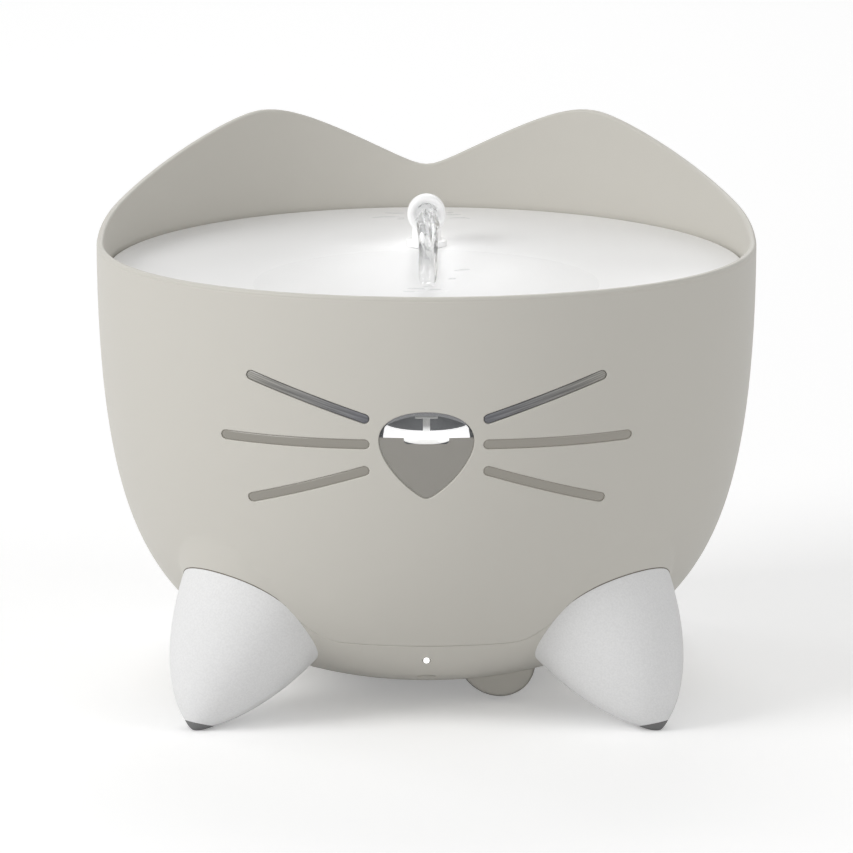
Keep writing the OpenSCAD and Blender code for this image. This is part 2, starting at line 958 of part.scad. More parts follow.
outer_shell();
tank_floor();
dish_ledge();
window_seal();
window_lens();
float_guide();
level_float();
base_cover();
base_seal();
leg_front_left();
leg_front_right();
leg_rear_left();
leg_rear_right();
foot_front_left();
foot_front_right();
foot_rear_left();
foot_rear_right();
leg_screws();
base_screws();
light_pipe();
indicator_led();
light_board();
control_board();
board_parts();
board_screws();
power_inlet();
inlet_tongue();
inlet_board();
stator_core();
stator_coils();
shaft_bush_lower();
impeller_shaft();
impeller();
impeller_magnet();
pump_housing();
pump_cover();
pump_screws();
shaft_bush_upper();
riser_tube();
riser_seal();
filter_housing();
riser_collar();
filter_frame();
filter_foam();
filter_carbon();
filter_lid();
top_dish();
dish_ring();
spout();
spout_seal();
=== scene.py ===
"""Pet water fountain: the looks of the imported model.

Shapes are worked out in millimetres in the model's own frame (+Z up, the face on -Y) and
written to the meshes in metres.
"""
import json
import math
from bisect import bisect

import bmesh
import bpy
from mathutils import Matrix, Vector, noise
from mathutils.geometry import delaunay_2d_cdt


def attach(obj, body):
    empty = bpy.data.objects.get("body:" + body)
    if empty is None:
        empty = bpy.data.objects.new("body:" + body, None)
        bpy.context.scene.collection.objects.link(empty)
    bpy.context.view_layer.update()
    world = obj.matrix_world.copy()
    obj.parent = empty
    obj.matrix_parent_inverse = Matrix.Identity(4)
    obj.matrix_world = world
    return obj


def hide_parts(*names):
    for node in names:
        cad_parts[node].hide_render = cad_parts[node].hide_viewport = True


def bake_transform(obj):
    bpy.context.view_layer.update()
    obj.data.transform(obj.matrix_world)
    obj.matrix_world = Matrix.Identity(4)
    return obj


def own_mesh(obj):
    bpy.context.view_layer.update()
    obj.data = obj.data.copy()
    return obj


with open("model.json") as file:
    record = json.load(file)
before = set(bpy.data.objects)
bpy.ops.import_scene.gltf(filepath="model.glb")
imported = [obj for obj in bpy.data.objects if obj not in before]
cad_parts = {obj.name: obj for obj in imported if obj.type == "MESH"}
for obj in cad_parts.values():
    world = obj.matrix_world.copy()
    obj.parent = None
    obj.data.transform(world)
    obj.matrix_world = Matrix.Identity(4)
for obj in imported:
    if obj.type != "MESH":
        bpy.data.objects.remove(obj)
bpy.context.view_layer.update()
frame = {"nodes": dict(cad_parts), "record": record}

MM = 0.001
TURN = 2 * math.pi
ROOT = "base_and_bowl"
UP = Vector((0, 0, 1))
FRONT = Vector((0, -1, 0))

# ---- Sizes, in millimetres ----

BODY_R = 120.0
WALL = 2.6
RIM_FRONT_Z = 165.5
RIM_DROP = 3.0
EAR_Z = 192.35
EAR_X = 62.4
EAR_SLOPE = 0.56
EAR_ROUND = 16.3
VALLEY_ROUND = 5.8
RISE_SLOPE = 0.2
RISE_START = 38.0
RISE_CURVE = 0.0027
RISE_BACK_Y = -20.0
CREST_SOFT = 2.0
FOOT_SOFT = 1.2
SEAM_Z = 32.3
SEAM_GAP = 0.19
BOTTOM_Z = 4.3
SKIN = ((BODY_R, 161.3), (BODY_R - 0.2, 38.7), (0.787 * BODY_R, 55.5),
        (0.8015 * BODY_R, 2.2), (0.0, BOTTOM_Z))
FLOOR_Z = 36.0
LEDGE_Z = 146.2
LEDGE_T = 3.0
LEDGE_R = 112.5

DISH_Z = 152.4
DISH_R = 116.4
DISH_T = 2.5

LEG_R = 84.51
LEG_Z = 40.95
LEG_LEAN = math.radians(60.78)
LEG_HALF_IN = 30.4
LEG_HALF_ACROSS = 30.74
LEG_LEN = 51.34
LEG_NECK = 12.66
LEG_ROOT = 18.0
LEG_POWER = 2.159
LEG_POWER_ROOT = 2.059
LEG_IN_POWERS = (1.958, 0.707)
LEG_ACROSS_POWERS = (1.58, 0.622)
LEG_BEND = (5.743, 2.475, -1.007)
LEG_BEND_LEN = 38.4
ROOT_DEPTH = 1.6
GAP_R = 0.22
GAP_LOW_Z = 42.0
GAP_FADE = 12.0
FOOT_TILT = math.radians(16.7)
FOOT_MID_R = 114.0
FOOT_MID_Z = 1.9
FOOT_STRETCH = 0.35
FOOT_LOW_Z = 0.02
LEG_LOW_Z = 0.4
LEG_ANGLES = {"front_left": 225, "front_right": 315, "rear_left": 135, "rear_right": 45}

NOSE_TOP_Z = 124.2
NOSE_TIP_Z = 92.3
NOSE_TIP_HALF_W = 2.4
NOSE_HALF_W = 16.8
NOSE_WIDE_Z = 113.6
WHISKER_W = 3.5
WHISKER_ROOT_X = 21.8
WHISKERS = ((121.4, (61.7, 134.1)), (112.1, (70.8, 110.9)), (102.3, (61.3, 88.9)))
WATER_Z = 113.3

SPOUT_Y = 46.4
MOUTH_Y = 38.5
MOUTH_Z = 164.45
MOUTH_BORE = 4.0
COLLAR_R = 7.6
COLUMN_R = 5.35
NOZZLE_R = 7.1

LIGHT_Z = 25.1
LIGHT_R = 1.45
PUMP_Y = 26.0
WELL_R = 10.5
WELL_Z = 18.6
SCREW_SPOT_R = 62.0
COUNTERBORE_R = 3.4
COUNTERBORE_Z = 21.0
INLET_X = 22.0
INLET_Y = 64.0
INLET_Z = 24.0
INLET_W = 9.2
INLET_H = 3.5
POCKET_HALF_W = 8.5
POCKET_HALF_H = 5.0
POCKET_ROUND = 1.2
SCREW_HOLE_R = 1.7
SCREW_HOLE_Z = 26.0

BULGE_X = 27.0
BULGE_LOW = 1.9
BULGE_LEFT_R = 16.0
BULGE_RIGHT_R = 12.5
BULGE_FRONT = -43.0
BULGE_BACK = -16.0
BULGE_MID = -30.0
BULGE_EDGE = 1.6
BULGE_SIDE_Z = 22.0
BULGE_TOP_Z = 30.0


# ---- Numbers and places ----

def spaced(start, end, steps):
    """Evenly spaced numbers from start to end."""
    return [start + (end - start) * i / steps for i in range(steps + 1)]


def quarter(steps):
    """Angles from zero to a quarter turn."""
    return spaced(0.0, math.pi / 2, steps)


def turns(count):
    """Angles of equal steps round a full turn."""
    return [TURN * i / count for i in range(count)]


def edges_of(loop):
    """Pairs of neighbours round a closed loop."""
    return list(zip(loop, loop[1:] + loop[:1]))


def by_halves(low, high, steps, goes_on):
    """The value, found by halving, up to which goes_on holds."""
    for _ in range(steps):
        mid = (low + high) / 2
        if goes_on(mid):
            low = mid
        else:
            high = mid
    return low


def around(theta, r, z=0.0):
    """Point at a radius and a height, theta being counted from the front."""
    return Vector((r * math.sin(theta), -r * math.cos(theta), z))


def upright(x0, y0):
    """Places a lathed form on a vertical axis."""
    return lambda x, y, z: (x0 + x, y0 + y, z)


def linked(name, data):
    """A new object in the scene."""
    made = bpy.data.objects.new(name, data)
    bpy.context.scene.collection.objects.link(made)
    return made


# ---- Mesh building ----

class Sheet:
    """Points in millimetres, each with a normal or None, and the faces between them."""

    def __init__(self):
        self.points = []
        self.normals = []
        self.faces = []

    def add(self, point, normal=None):
        self.points.append(Vector(point))
        self.normals.append(Vector(normal).normalized() if normal else None)
        return len(self.points) - 1

    def row(self, points, normals=None):
        normals = normals or [None] * len(points)
        return [self.add(p, n) for p, n in zip(points, normals)]

    def face(self, corners):
        corners = [c for i, c in enumerate(corners) if c != corners[i - 1]]
        if len(corners) < 3:
            return
        known = [self.normals[c] for c in corners if self.normals[c]]
        self.facing(corners, sum(known, Vector()))

    def facing(self, corners, way):
        """A face turned so that it looks along way."""
        p, q, r = (self.points[c] for c in corners[:3])
        if (q - p).cross(r - p).dot(way) < 0:
            corners.reverse()
        self.faces.append(corners)

    def band(self, a, b, closed=True):
        """Quads between two rows of the same length."""
        count = len(a)
        for i in range(count if closed else count - 1):
            j = (i + 1) % count
            self.face([a[i], a[j], b[j], b[i]])

    def fan(self, ring, centre):
        for p, q in edges_of(ring):
            self.face([p, q, centre])

    def bands(self, rows, closed=True):
        for a, b in zip(rows, rows[1:]):
            self.band(a, b, closed)

    def build(self, name):
        mesh = bpy.data.meshes.new(name)
        mesh.from_pydata([p * MM for p in self.points], [], self.faces)
        mesh.validate()
        mesh.polygons.foreach_set("use_smooth", [True] * len(mesh.polygons))
        found = [v.vector.copy() for v in mesh.vertex_normals]
        if any(self.normals):
            mesh.normals_split_custom_set_from_vertices(
                [n if n else f for n, f in zip(self.normals, found)])
        return linked(name, mesh)


def dress(piece, material, body, slot, *nodes):
    """Gives a piece its material and its body, and hides the CAD nodes that it stands for; slot is
    not used.
    """
    piece.data.materials.append(material)
    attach(piece, body)
    if nodes:
        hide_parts(*nodes)


def lathe(sheet, profile, place=None, segments=96, crease=32, out=1):
    """Turns a profile of (r, z) points; corners sharper than crease degrees stay sharp.
    place(x, y, z) puts a point; out = 1 when the surface faces right of the way along the profile."""
    place = place or (lambda x, y, z: (x, y, z))
    profile = [p for i, p in enumerate(profile) if i == 0 or math.dist(p, profile[i - 1]) > 1e-6]
    origin = Vector(place(0, 0, 0))
    headings = [Vector((b[0] - a[0], b[1] - a[1])).normalized()
                for a, b in zip(profile, profile[1:])]
    runs = [[(profile[0], headings[0])]]
    for i in range(1, len(profile) - 1):
        a, b = headings[i - 1], headings[i]
        if a.angle(b) > math.radians(crease):
            runs[-1].append((profile[i], a))
            runs.append([(profile[i], b)])
        else:
            runs[-1].append((profile[i], (a + b).normalized()))
    runs[-1].append((profile[-1], headings[-1]))
    for run in runs:
        rows = []
        for (r, z), h in run:
            nr, nz = out * h.y, -out * h.x
            if r < 1e-6:
                normal = Vector(place(0, 0, 1 if nz > 0 else -1)) - origin
                rows.append([sheet.add(place(0, 0, z), normal)] * segments)
                continue
            points, normals = [], []
            for angle in turns(segments):
                c, s = math.cos(angle), math.sin(angle)
                points.append(place(r * c, r * s, z))
                normals.append(Vector(place(nr * c, nr * s, nz)) - origin)
            rows.append(sheet.row(points, normals))
        sheet.bands(rows)


def arc(centre, radius, start, end, steps):
    """Points on an arc in the profile plane, angles in degrees."""
    return [(centre[0] + radius * math.cos(math.radians(angle)),
             centre[1] + radius * math.sin(math.radians(angle)))
            for angle in spaced(start, end, steps)]


def inside(point, loop):
    """Whether a point lies inside a closed outline."""
    x, y = point
    hit = False
    for (ax, ay), (bx, by) in edges_of(loop):
        if (ay > y) != (by > y) and x < (bx - ax) * (y - ay) / (by - ay) + ax:
            hit = not hit
    return hit


def near(point, loop, reach):
    """Whether a point lies closer than reach to an outline's edge."""
    x, y = point
    for (ax, ay), (bx, by) in edges_of(loop):
        dx, dy = bx - ax, by - ay
        t = ((x - ax) * dx + (y - ay) * dy) / (dx * dx + dy * dy + 1e-12)
        t = min(1.0, max(0.0, t))
        if (x - ax - t * dx) ** 2 + (y - ay - t * dy) ** 2 < reach * reach:
            return True
    return False


def offset_outline(loop, distance):
    """A closed outline moved outwards by distance, the outline running anticlockwise."""
    moved = []
    for i, (x, y) in enumerate(loop):
        ax, ay = loop[i - 1]
        bx, by = loop[(i + 1) % len(loop)]
        n1 = Vector((y - ay, ax - x)).normalized()
        n2 = Vector((by - y, x - bx)).normalized()
        mean = (n1 + n2).normalized()
        stretch = min(2.0, 1 / max(0.3, mean.dot(n1)))
        moved.append((x + mean.x * distance * stretch, y + mean.y * distance * stretch))
    return moved


def triangles(points, loops, keep_inside=False):
    """Constrained Delaunay triangles over the points, outside the loops (or inside them);
    a loop is a row of point numbers."""
    edges = sum((edges_of(loop) for loop in loops), [])
    _, _, faces, origin, _, _ = delaunay_2d_cdt([Vector(p) for p in points], edges, [], 0, 1e-7)
    outlines = [[points[i] for i in loop] for loop in loops]
    kept = []
    for face in faces:
        corners = [origin[v][0] for v in face]
        middle = [sum(points[c][k] for c in corners) / 3 for k in (0, 1)]
        if any(inside(middle, outline) for outline in outlines) == keep_inside:
            kept.append(corners)
    return kept


# ---- The bowl's outer surface ----

def bezier(points, t):
    points = [Vector(p) for p in points]
    while len(points) > 1:
        points = [a.lerp(b, t) for a, b in zip(points, points[1:])]
    return points[0]


def profile_table(steps=900):
    """Rows (s, r, z, heading r, heading z) down the bowl's outer curve."""
    slope = [Vector(b) - Vector(a) for a, b in zip(SKIN, SKIN[1:])]
    table, s, last = [], 0.0, None
    for i in range(steps + 1):
        p = bezier(SKIN, i / steps)
        h = bezier(slope, i / steps).normalized()
        s += (p - last).length if last else 0.0
        table.append((s, p.x, p.y, h.x, h.y))
        last = p
    return table


PROFILE = profile_table()
PROFILE_S = [row[0] for row in PROFILE]
PROFILE_END = PROFILE[-1][0]
WALL_TOP = PROFILE[0][2]


def on_profile(s):
    """(r, z, outward normal r, z) at a distance s down the curve; s < 0 is the straight wall."""
    if s <= 0:
        return BODY_R, WALL_TOP - s, 1.0, 0.0
    i = min(max(bisect(PROFILE_S, s) - 1, 0), len(PROFILE) - 2)
    a, b = PROFILE[i], PROFILE[i + 1]
    t = min(1.0, (s - a[0]) / (b[0] - a[0]))
    r, z, hr, hz = (a[k] + (b[k] - a[k]) * t for k in (1, 2, 3, 4))
    return r, z, -hz, hr


def s_at_z(z):
    if z >= WALL_TOP:
        return WALL_TOP - z
    return by_halves(0.0, PROFILE_END, 40, lambda s: on_profile(s)[1] > z)


def s_at_r(r):
    return by_halves(0.0, PROFILE_END, 40, lambda s: on_profile(s)[0] > r)


def s_near(r, z):
    """Place on the profile closest to a point, by a coarse and then a fine search along it."""
    def gap(i):
        return (PROFILE[i][1] - r) ** 2 + (PROFILE[i][2] - z) ** 2

    coarse = 30
    best = min(range(0, len(PROFILE), coarse), key=gap)
    best = min(range(max(0, best - coarse), min(len(PROFILE), best + coarse + 1)), key=gap)
    return PROFILE[best][0]


HOOD_HALF_W = 26.7
HOOD_MID_Z = 40.0
HOOD_UP = 29.3
HOOD_DOWN = 24.0
HOOD_POWER = 2.25
HOOD_H = 8.0
HOOD_SOFT = 0.03
RISE_AZ = 20.0
RISE_RATE = 0.16
RISE_MOST = 13.0


def leg_azimuth(theta):
    """Azimuth folded into the half turn from the front to the back, in degrees."""
    az = abs(math.degrees(theta)) % 360
    az = min(az, 360 - az)
    return min(az, 180 - az)


def swell(theta, z, r):
    """Height of the flat-sided hood of the bowl over each leg, with a soft crease at its edge."""
    across = abs(math.radians(leg_azimuth(theta) - 45) * r) / HOOD_HALF_W
    along = (z - HOOD_MID_Z) / HOOD_UP if z > HOOD_MID_Z else (HOOD_MID_Z - z) / HOOD_DOWN
    v = 1 - (across ** HOOD_POWER + along ** HOOD_POWER) ** (1 / HOOD_POWER)
    if v < -HOOD_SOFT:
        return 0.0
    return HOOD_H * (v if v > HOOD_SOFT else (v + HOOD_SOFT) ** 2 / (4 * HOOD_SOFT))


def seam_rise(theta):
    """How far the seam climbs beside a leg, where the lower casing runs up along it."""
    az = leg_azimuth(theta)
    az = min(az, 90 - az)
    return min(RISE_MOST, RISE_RATE * max(0.0, az - RISE_AZ) ** 2)


def with_seam(theta, s, still, edge):
    """Moves a row with the rising seam: wholly at the edge beside it, not at all from still on."""
    share = max(0.0, (s - still) / (edge - still))
    return s - seam_rise(theta) * share ** 1.5


def skin_point(theta, s, depth=0.0, swollen=True):
    r, z, nr, nz = on_profile(s)
    out = (swell(theta, z, r) if swollen and depth == 0 else 0.0) - depth
    return around(theta, r + out * nr, z + out * nz)


def skin_normal(theta, s):
    e = 0.4
    across = skin_point(theta + 0.004, s) - skin_point(theta - 0.004, s)
    down = skin_point(theta, s + e) - skin_point(theta, s - e)
    return across.cross(down).normalized() * -1


def on_skin(sheet, theta, s):
    """A vertex on the skin, with the skin's normal."""
    return sheet.add(skin_point(theta, s), skin_normal(theta, s))


def to_plane(theta, s):
    """Where a point of the skin lies in the flat plane in which the mesh is laid out."""
    return theta * 100.0, -s


def outline_on_skin(loop, depth=0.0, rear=False):
    """An outline seen from the front (or rear), as (theta, s) on the skin moved inwards by depth."""
    found = []
    for x, z in loop:
        s = s_at_z(z)
        for _ in range(3):
            r, h, nr, nz = on_profile(s)
            s += (h - depth * nz) - z if abs(nr) > 0.5 else 0
        r, h, nr, nz = on_profile(s)
        theta = math.asin(max(-1, min(1, x / (r - depth * nr))))
        found.append((math.pi - theta if rear else theta, s))
    return found


def laid(sheet, outline, depth):
    """Vertices under the smooth skin for an outline seen from the front."""
    return sheet.row([skin_point(t, s, depth, False) for t, s in outline_on_skin(outline, depth)])


# ---- Outlines of the face ----

def nose_outline(steps=20):
    """The nose, wide above and pointed below: three curves down its right half, mirrored."""
    wide = (NOSE_HALF_W, NOSE_WIDE_Z)
    low = (NOSE_TIP_HALF_W, NOSE_TIP_Z + 1.0)
    curves = (((0, NOSE_TOP_Z), (9.5, NOSE_TOP_Z), (NOSE_HALF_W, 120.5), wide),
              (wide, (NOSE_HALF_W, 107), (9.5, 98), low),
              (low, (NOSE_TIP_HALF_W / 2, NOSE_TIP_Z + 0.2), (0.0, NOSE_TIP_Z)))
    right = [(0.0, NOSE_TOP_Z)]
    for curve, count in zip(curves, (steps, steps, 4)):
        right += [tuple(bezier(curve, t)) for t in spaced(0.0, 1.0, count)[1:]]
    left = [(-x, z) for x, z in reversed(right[1:-1])]
    return list(reversed(right + left))


def whisker_outline(side, root_z, tip, width, steps=10):
    """A straight bar with round ends, run along on one side and then back on the other."""
    root = Vector((side * WHISKER_ROOT_X, root_z))
    end = Vector((side * tip[0], tip[1]))
    run = (end - root).normalized()
    length = (end - root).length
    pieces = int(length / 2.2)
    points = []
    for start, far, way in ((root, end, run), (end, root, -run)):
        across = Vector((-way.y, way.x)) * width / 2
        points += [start + way * length * i / pieces - across for i in range(pieces + 1)]
        points += [far - across * math.cos(a) + way * width / 2 * math.sin(a)
                   for a in spaced(0.0, math.pi, steps)[1:-1]]
    return [tuple(p) for p in points]


def circle_outline(x, z, r, steps=28):
    return [(x + r * math.cos(a), z + r * math.sin(a)) for a in turns(steps)]


def rounded_box(x, z, half_w, half_h, r, steps=6):
    points = []
    for cx, cz, start in ((1, -1, -90), (1, 1, 0), (-1, 1, 90), (-1, -1, 180)):
        points += arc((x + cx * (half_w - r), z + cz * (half_h - r)), r, start, start + 90, steps)
    return points


FACE_HOLES = [nose_outline()] + [whisker_outline(side, root, tip, WHISKER_W)
                                 for side in (-1, 1) for root, tip in WHISKERS]

# ---- Skin meshes with cut-outs ----

COLUMNS = 288
STEP = TURN / COLUMNS
THETAS = [c * STEP for c in range(COLUMNS)]
EDGE_ROUND = 0.4


def hole_edge(sheet, loop, plane_points, numbers, wall_depth, rear=False, under=False):
    """Rounded edge of a cut-out and its wall, straight in along Y (or up, when under).
    Adds the outer ring's points to plane_points and their vertex numbers to numbers."""
    def on_surface(ring, depth=0.0):
        if under:
            return [(math.atan2(x, -y), s_at_r(math.hypot(x, y))) for x, y in ring]
        return outline_on_skin(ring, depth, rear)

    outer = on_surface(offset_outline(loop, EDGE_ROUND))
    middle = on_surface(offset_outline(loop, EDGE_ROUND * 0.3))
    edge = on_surface(loop)
    inwards = []
    for i, (x, y) in enumerate(loop):
        ax, ay = loop[i - 1]
        bx, by = loop[(i + 1) % len(loop)]
        n = Vector((ay - by, bx - ax)).normalized()
        inwards.append(Vector((n.x, n.y, 0)) if under else Vector((n.x, 0, n.y)))
    deep = UP if under else FRONT if rear else -FRONT
    first = []
    for theta, s in outer:
        first.append(on_skin(sheet, theta, s))
        plane_points.append(to_plane(theta, s))
        numbers.append(first[-1])
    second = [sheet.add(skin_point(t, s) + deep * EDGE_ROUND * 0.3, skin_normal(t, s) + n)
              for (t, s), n in zip(middle, inwards)]
    third = [sheet.add(skin_point(t, s) + deep * EDGE_ROUND, n)
             for (t, s), n in zip(edge, inwards)]
    if under:
        last = [sheet.add((x, y, wall_depth), n) for (x, y), n in zip(loop, inwards)]
    elif rear:
        last = [sheet.add((x, wall_depth, z), n) for (x, z), n in zip(loop, inwards)]
    else:
        inner = outline_on_skin(loop, wall_depth)
        last = [sheet.add(skin_point(t, s, wall_depth), n) for (t, s), n in zip(inner, inwards)]
    sheet.bands([first, second, third, last])
    return list(range(len(plane_points) - len(first), len(plane_points)))


def skin_mesh(sheet, rows, patches, warp):
    """Quads over rows of s, with triangles round the cut-outs in each patch.
    A patch is (first column, last column, first row, last row, outlines, options);
    warp(theta, s) moves a row along the skin."""
    grid = {}

    def vertex(c, r):
        key = (c % COLUMNS, r)
        if key not in grid:
            theta = c * STEP
            grid[key] = on_skin(sheet, theta, warp(theta, rows[r]))
        return grid[key]

    covered = set()
    for c0, c1, r0, r1, outlines, options in patches:
        plane_points, numbers, loops, shapes = [], [], [], []
        for outline in outlines:
            loops.append(hole_edge(sheet, outline, plane_points, numbers, **options))
            shapes.append([plane_points[i] for i in loops[-1]])
        for c in range(c0, c1 + 1):
            for r in range(r0, r1 + 1):
                point = to_plane(c * STEP, rows[r])
                border = c in (c0, c1) or r in (r0, r1)
                if not border and any(inside(point, s) or near(point, s, 0.9) for s in shapes):
                    continue
                plane_points.append(point)
                numbers.append(vertex(c, r))
        for corners in triangles(plane_points, loops):
            sheet.face([numbers[i] for i in corners])
        covered |= {(c % COLUMNS, r) for c in range(c0, c1) for r in range(r0, r1)}
    for r in range(len(rows) - 1):
        for c in range(COLUMNS):
            if (c, r) not in covered:
                sheet.face([vertex(c, r), vertex(c + 1, r), vertex(c + 1, r + 1), vertex(c, r + 1)])
    return grid


def front_rim(x):
    return RIM_FRONT_Z - RIM_DROP * (x / BODY_R) ** 2


def rim_height(x, y):
    """Height of the rim above a point of the wall."""
    reach = math.hypot(math.hypot(x, VALLEY_ROUND) - EAR_X, EAR_ROUND)
    ear = EAR_Z + EAR_SLOPE * (EAR_ROUND - reach)
    side = RIM_FRONT_Z - RIM_DROP + RISE_SLOPE * y + RISE_CURVE * max(0.0, y - RISE_START) ** 2
    gap = max(CREST_SOFT - abs(ear - side), 0.0) / CREST_SOFT
    crest = min(ear, side) - gap * gap * CREST_SOFT / 4
    low = front_rim(x)
    gap = max(FOOT_SOFT - abs(crest - low), 0.0) / FOOT_SOFT
    return max(crest, low) + gap * gap * FOOT_SOFT / 4 if y > RISE_BACK_Y else low


def rim_at(theta):
    return rim_height(BODY_R * math.sin(theta), -BODY_R * math.cos(theta))


LIP_OUT = 1.0
LIP_IN = 0.9
GROOVE = 0.12
PATCH_TOP_Z = 141.0
UPPER_ROWS = 16
BOWL_ROWS = 46
INNER_ROWS = 30
INNER_TOP_ZS = (156, 150)
# rows of (inset, drop) that make the fine groove under the lip
GROOVE_ROWS = ((0, 0.75), (GROOVE, 0.5), (GROOVE, 0.3), (0, 0.05))
SLOPE_ANGLE = 0.01
FACE_LOW_Z = 84.0
FACE_COLUMNS = 38
LENS_Z = (86.0, 137.0)
LENS_TURN = math.radians(39)
SEAM_ROUND = 0.4
FLOOR_ROUND = 2.5


def rim_rings(sheet):
    """Rings from the top of the patch up the wall, over the lip and to its inner side."""
    rings = []
    for k in range(1, UPPER_ROWS + 1):
        row = []
        for theta in THETAS:
            reach = rim_at(theta) - LIP_OUT - 1.0 - PATCH_TOP_Z
            row.append(on_skin(sheet, theta, s_at_z(PATCH_TOP_Z + reach * k / UPPER_ROWS)))
        rings.append(row)
    for inset, drop in GROOVE_ROWS:
        rings.append([sheet.add(around(theta, BODY_R - inset, rim_at(theta) - LIP_OUT - drop))
                      for theta in THETAS])
    lip = [(LIP_OUT * (1 - math.cos(a)), LIP_OUT * (1 - math.sin(a)), a) for a in quarter(5)]
    lip += [(WALL - LIP_IN * (1 - math.sin(a)), LIP_IN * (1 - math.cos(a)), a + math.pi / 2)
            for a in quarter(5)]
    for inset, drop, a in lip:
        row = []
        for theta in THETAS:
            rise = rim_at(theta + SLOPE_ANGLE) - rim_at(theta - SLOPE_ANGLE)
            slope = rise / (2 * SLOPE_ANGLE * BODY_R)
            up = Vector((-math.cos(theta) * slope, -math.sin(theta) * slope, 1)).normalized()
            row.append(sheet.add(around(theta, BODY_R - inset, rim_at(theta) - drop),
                                 around(theta, math.cos(a)) + up * math.sin(a)))
        rings.append(row)
    return rings


def inner_wall(sheet, top, s_floor):
    """The wall from the lip down to the floor, left open where the window lies behind the face."""
    places = [s_at_z(z) for z in INNER_TOP_ZS] + spaced(s_at_z(LEDGE_Z), s_floor, INNER_ROWS)
    rows = [top]
    for s in places:
        rows.append([sheet.add(skin_point(theta, s, WALL),
                               -skin_normal(theta, s) if s > 0 else -around(theta, 1))
                     for theta in THETAS])
    at_face = [False] + [LENS_Z[0] < on_profile(s)[1] < LENS_Z[1] for s in places]
    for i in range(len(rows) - 1):
        for c in range(COLUMNS):
            if at_face[i] and at_face[i + 1] and min(c, COLUMNS - c) * STEP < LENS_TURN:
                continue
            d = (c + 1) % COLUMNS
            sheet.face([rows[i][c], rows[i][d], rows[i + 1][d], rows[i + 1][c]])
    return rows[-1]


def tank_bottom(sheet, wall_end, s_floor):
    """The floor of the tank with its rounded edge, and the pump's well."""
    r0, z0, _, _ = on_profile(s_floor)
    r0 -= WALL
    rims = []
    for a in quarter(5):
        r, z = r0 - FLOOR_ROUND * (1 - math.cos(a)), z0 - (z0 - FLOOR_Z) * math.sin(a)
        rims.append([sheet.add(around(theta, r, z), around(theta, -math.cos(a), math.sin(a)))
                     for theta in THETAS])
    sheet.bands([wall_end] + rims)
    numbers = rims[-1] + [sheet.add((x, y, FLOOR_Z), UP)
                          for x, y in circle_outline(0, PUMP_Y, WELL_R, 48)]
    plane = [(sheet.points[i].x, sheet.points[i].y) for i in numbers]
    for corners in triangles(plane, [list(range(COLUMNS, len(plane)))]):
        sheet.face([numbers[i] for i in corners])
    lathe(sheet, [(WELL_R, FLOOR_Z), (WELL_R, WELL_Z), (0, WELL_Z)], upright(0, PUMP_Y), 48, out=-1)


def bowl_shell(material):
    """The bowl: outer skin, rim, inner wall, floor, pump well, dish seat and seam edge."""
    sheet = Sheet()
    s_low = s_at_z(SEAM_Z + SEAM_GAP / 2 + SEAM_ROUND)
    rows = spaced(s_at_z(PATCH_TOP_Z), s_low, BOWL_ROWS)
    low_row = next(i for i, s in enumerate(rows) if on_profile(s)[1] < FACE_LOW_Z)
    patch = (-FACE_COLUMNS, FACE_COLUMNS, 0, low_row, FACE_HOLES, {"wall_depth": WALL})
    grid = skin_mesh(sheet, rows, [patch],
                     lambda theta, s: with_seam(theta, s, rows[low_row], s_low))
    rings = [[grid[(c, 0)] for c in range(COLUMNS)]] + rim_rings(sheet)
    sheet.bands(rings)
    s_floor = s_at_z(FLOOR_Z + FLOOR_ROUND)
    tank_bottom(sheet, inner_wall(sheet, rings[-1], s_floor), s_floor)
    # seat of the dish
    lathe(sheet, [(BODY_R - WALL, LEDGE_Z), (LEDGE_R + 0.5, LEDGE_Z), (LEDGE_R, LEDGE_Z - 0.5),
                  (LEDGE_R, LEDGE_Z - LEDGE_T), (BODY_R - WALL, LEDGE_Z - LEDGE_T)],
          segments=192, out=-1)
    sheet.bands([[grid[(c, len(rows) - 1)] for c in range(COLUMNS)]] + seam_edge(sheet, -1))
    dress(sheet.build("bowl_shell"), material, ROOT, "bowl_plastic",
          "outer_shell", "tank_floor", "dish_ledge")


# rows of (inset, drop below the edge, tilt of the normal) from the skin into the seam
SEAM_ROWS = ((0.12, 0.12, 0.6), (0.4, 0.0, 1.4), (2.4, 0.0, 1.57))


def seam_edge(sheet, up):
    """Rows of the rounded edge beside the seam: up is 1 for the base and -1 for the bowl."""
    rows = []
    for inset, drop, tilt in SEAM_ROWS:
        row = []
        for theta in THETAS:
            s = s_at_z(SEAM_Z) + up * (SEAM_GAP / 2 + drop) - seam_rise(theta)
            out = skin_normal(theta, s)
            row.append(sheet.add(skin_point(theta, s) - out * inset,
                                 out * math.cos(tilt) + UP * up * math.sin(tilt)))
        rows.append(row)
    return rows


BASE_ROWS = 34
BASE_STILL_ROW = 9
BASE_END_R = 16
LIGHT_COLUMNS = 4
LIGHT_BORE_DEPTH = 2.4
INLET_COLUMNS = 11
INLET_BODY_R = 81
INLET_DEPTH = 2.5
INLET_PATCH_Z = (32.0, 16.5)
SCREW_COLUMNS = 6
PATCH_REACH = 5


def inlet_plate(sheet, box_loop):
    """The plate at the end of the inlet's pocket, with the opening of the receptacle."""
    slot_loop = rounded_box(INLET_X, INLET_Z, INLET_W / 2, INLET_H / 2, INLET_H / 2 - 0.01)
    plane = box_loop + slot_loop
    numbers = [sheet.add((x, INLET_Y, z), -FRONT) for x, z in plane]
    for corners in triangles(plane, [list(range(len(box_loop), len(plane)))]):
        sheet.face([numbers[i] for i in corners])
    sheet.bands([[sheet.add((x, INLET_Y - depth, z), (INLET_X - x, 0, INLET_Z - z))
                  for x, z in slot_loop] for depth in (0, INLET_DEPTH)])


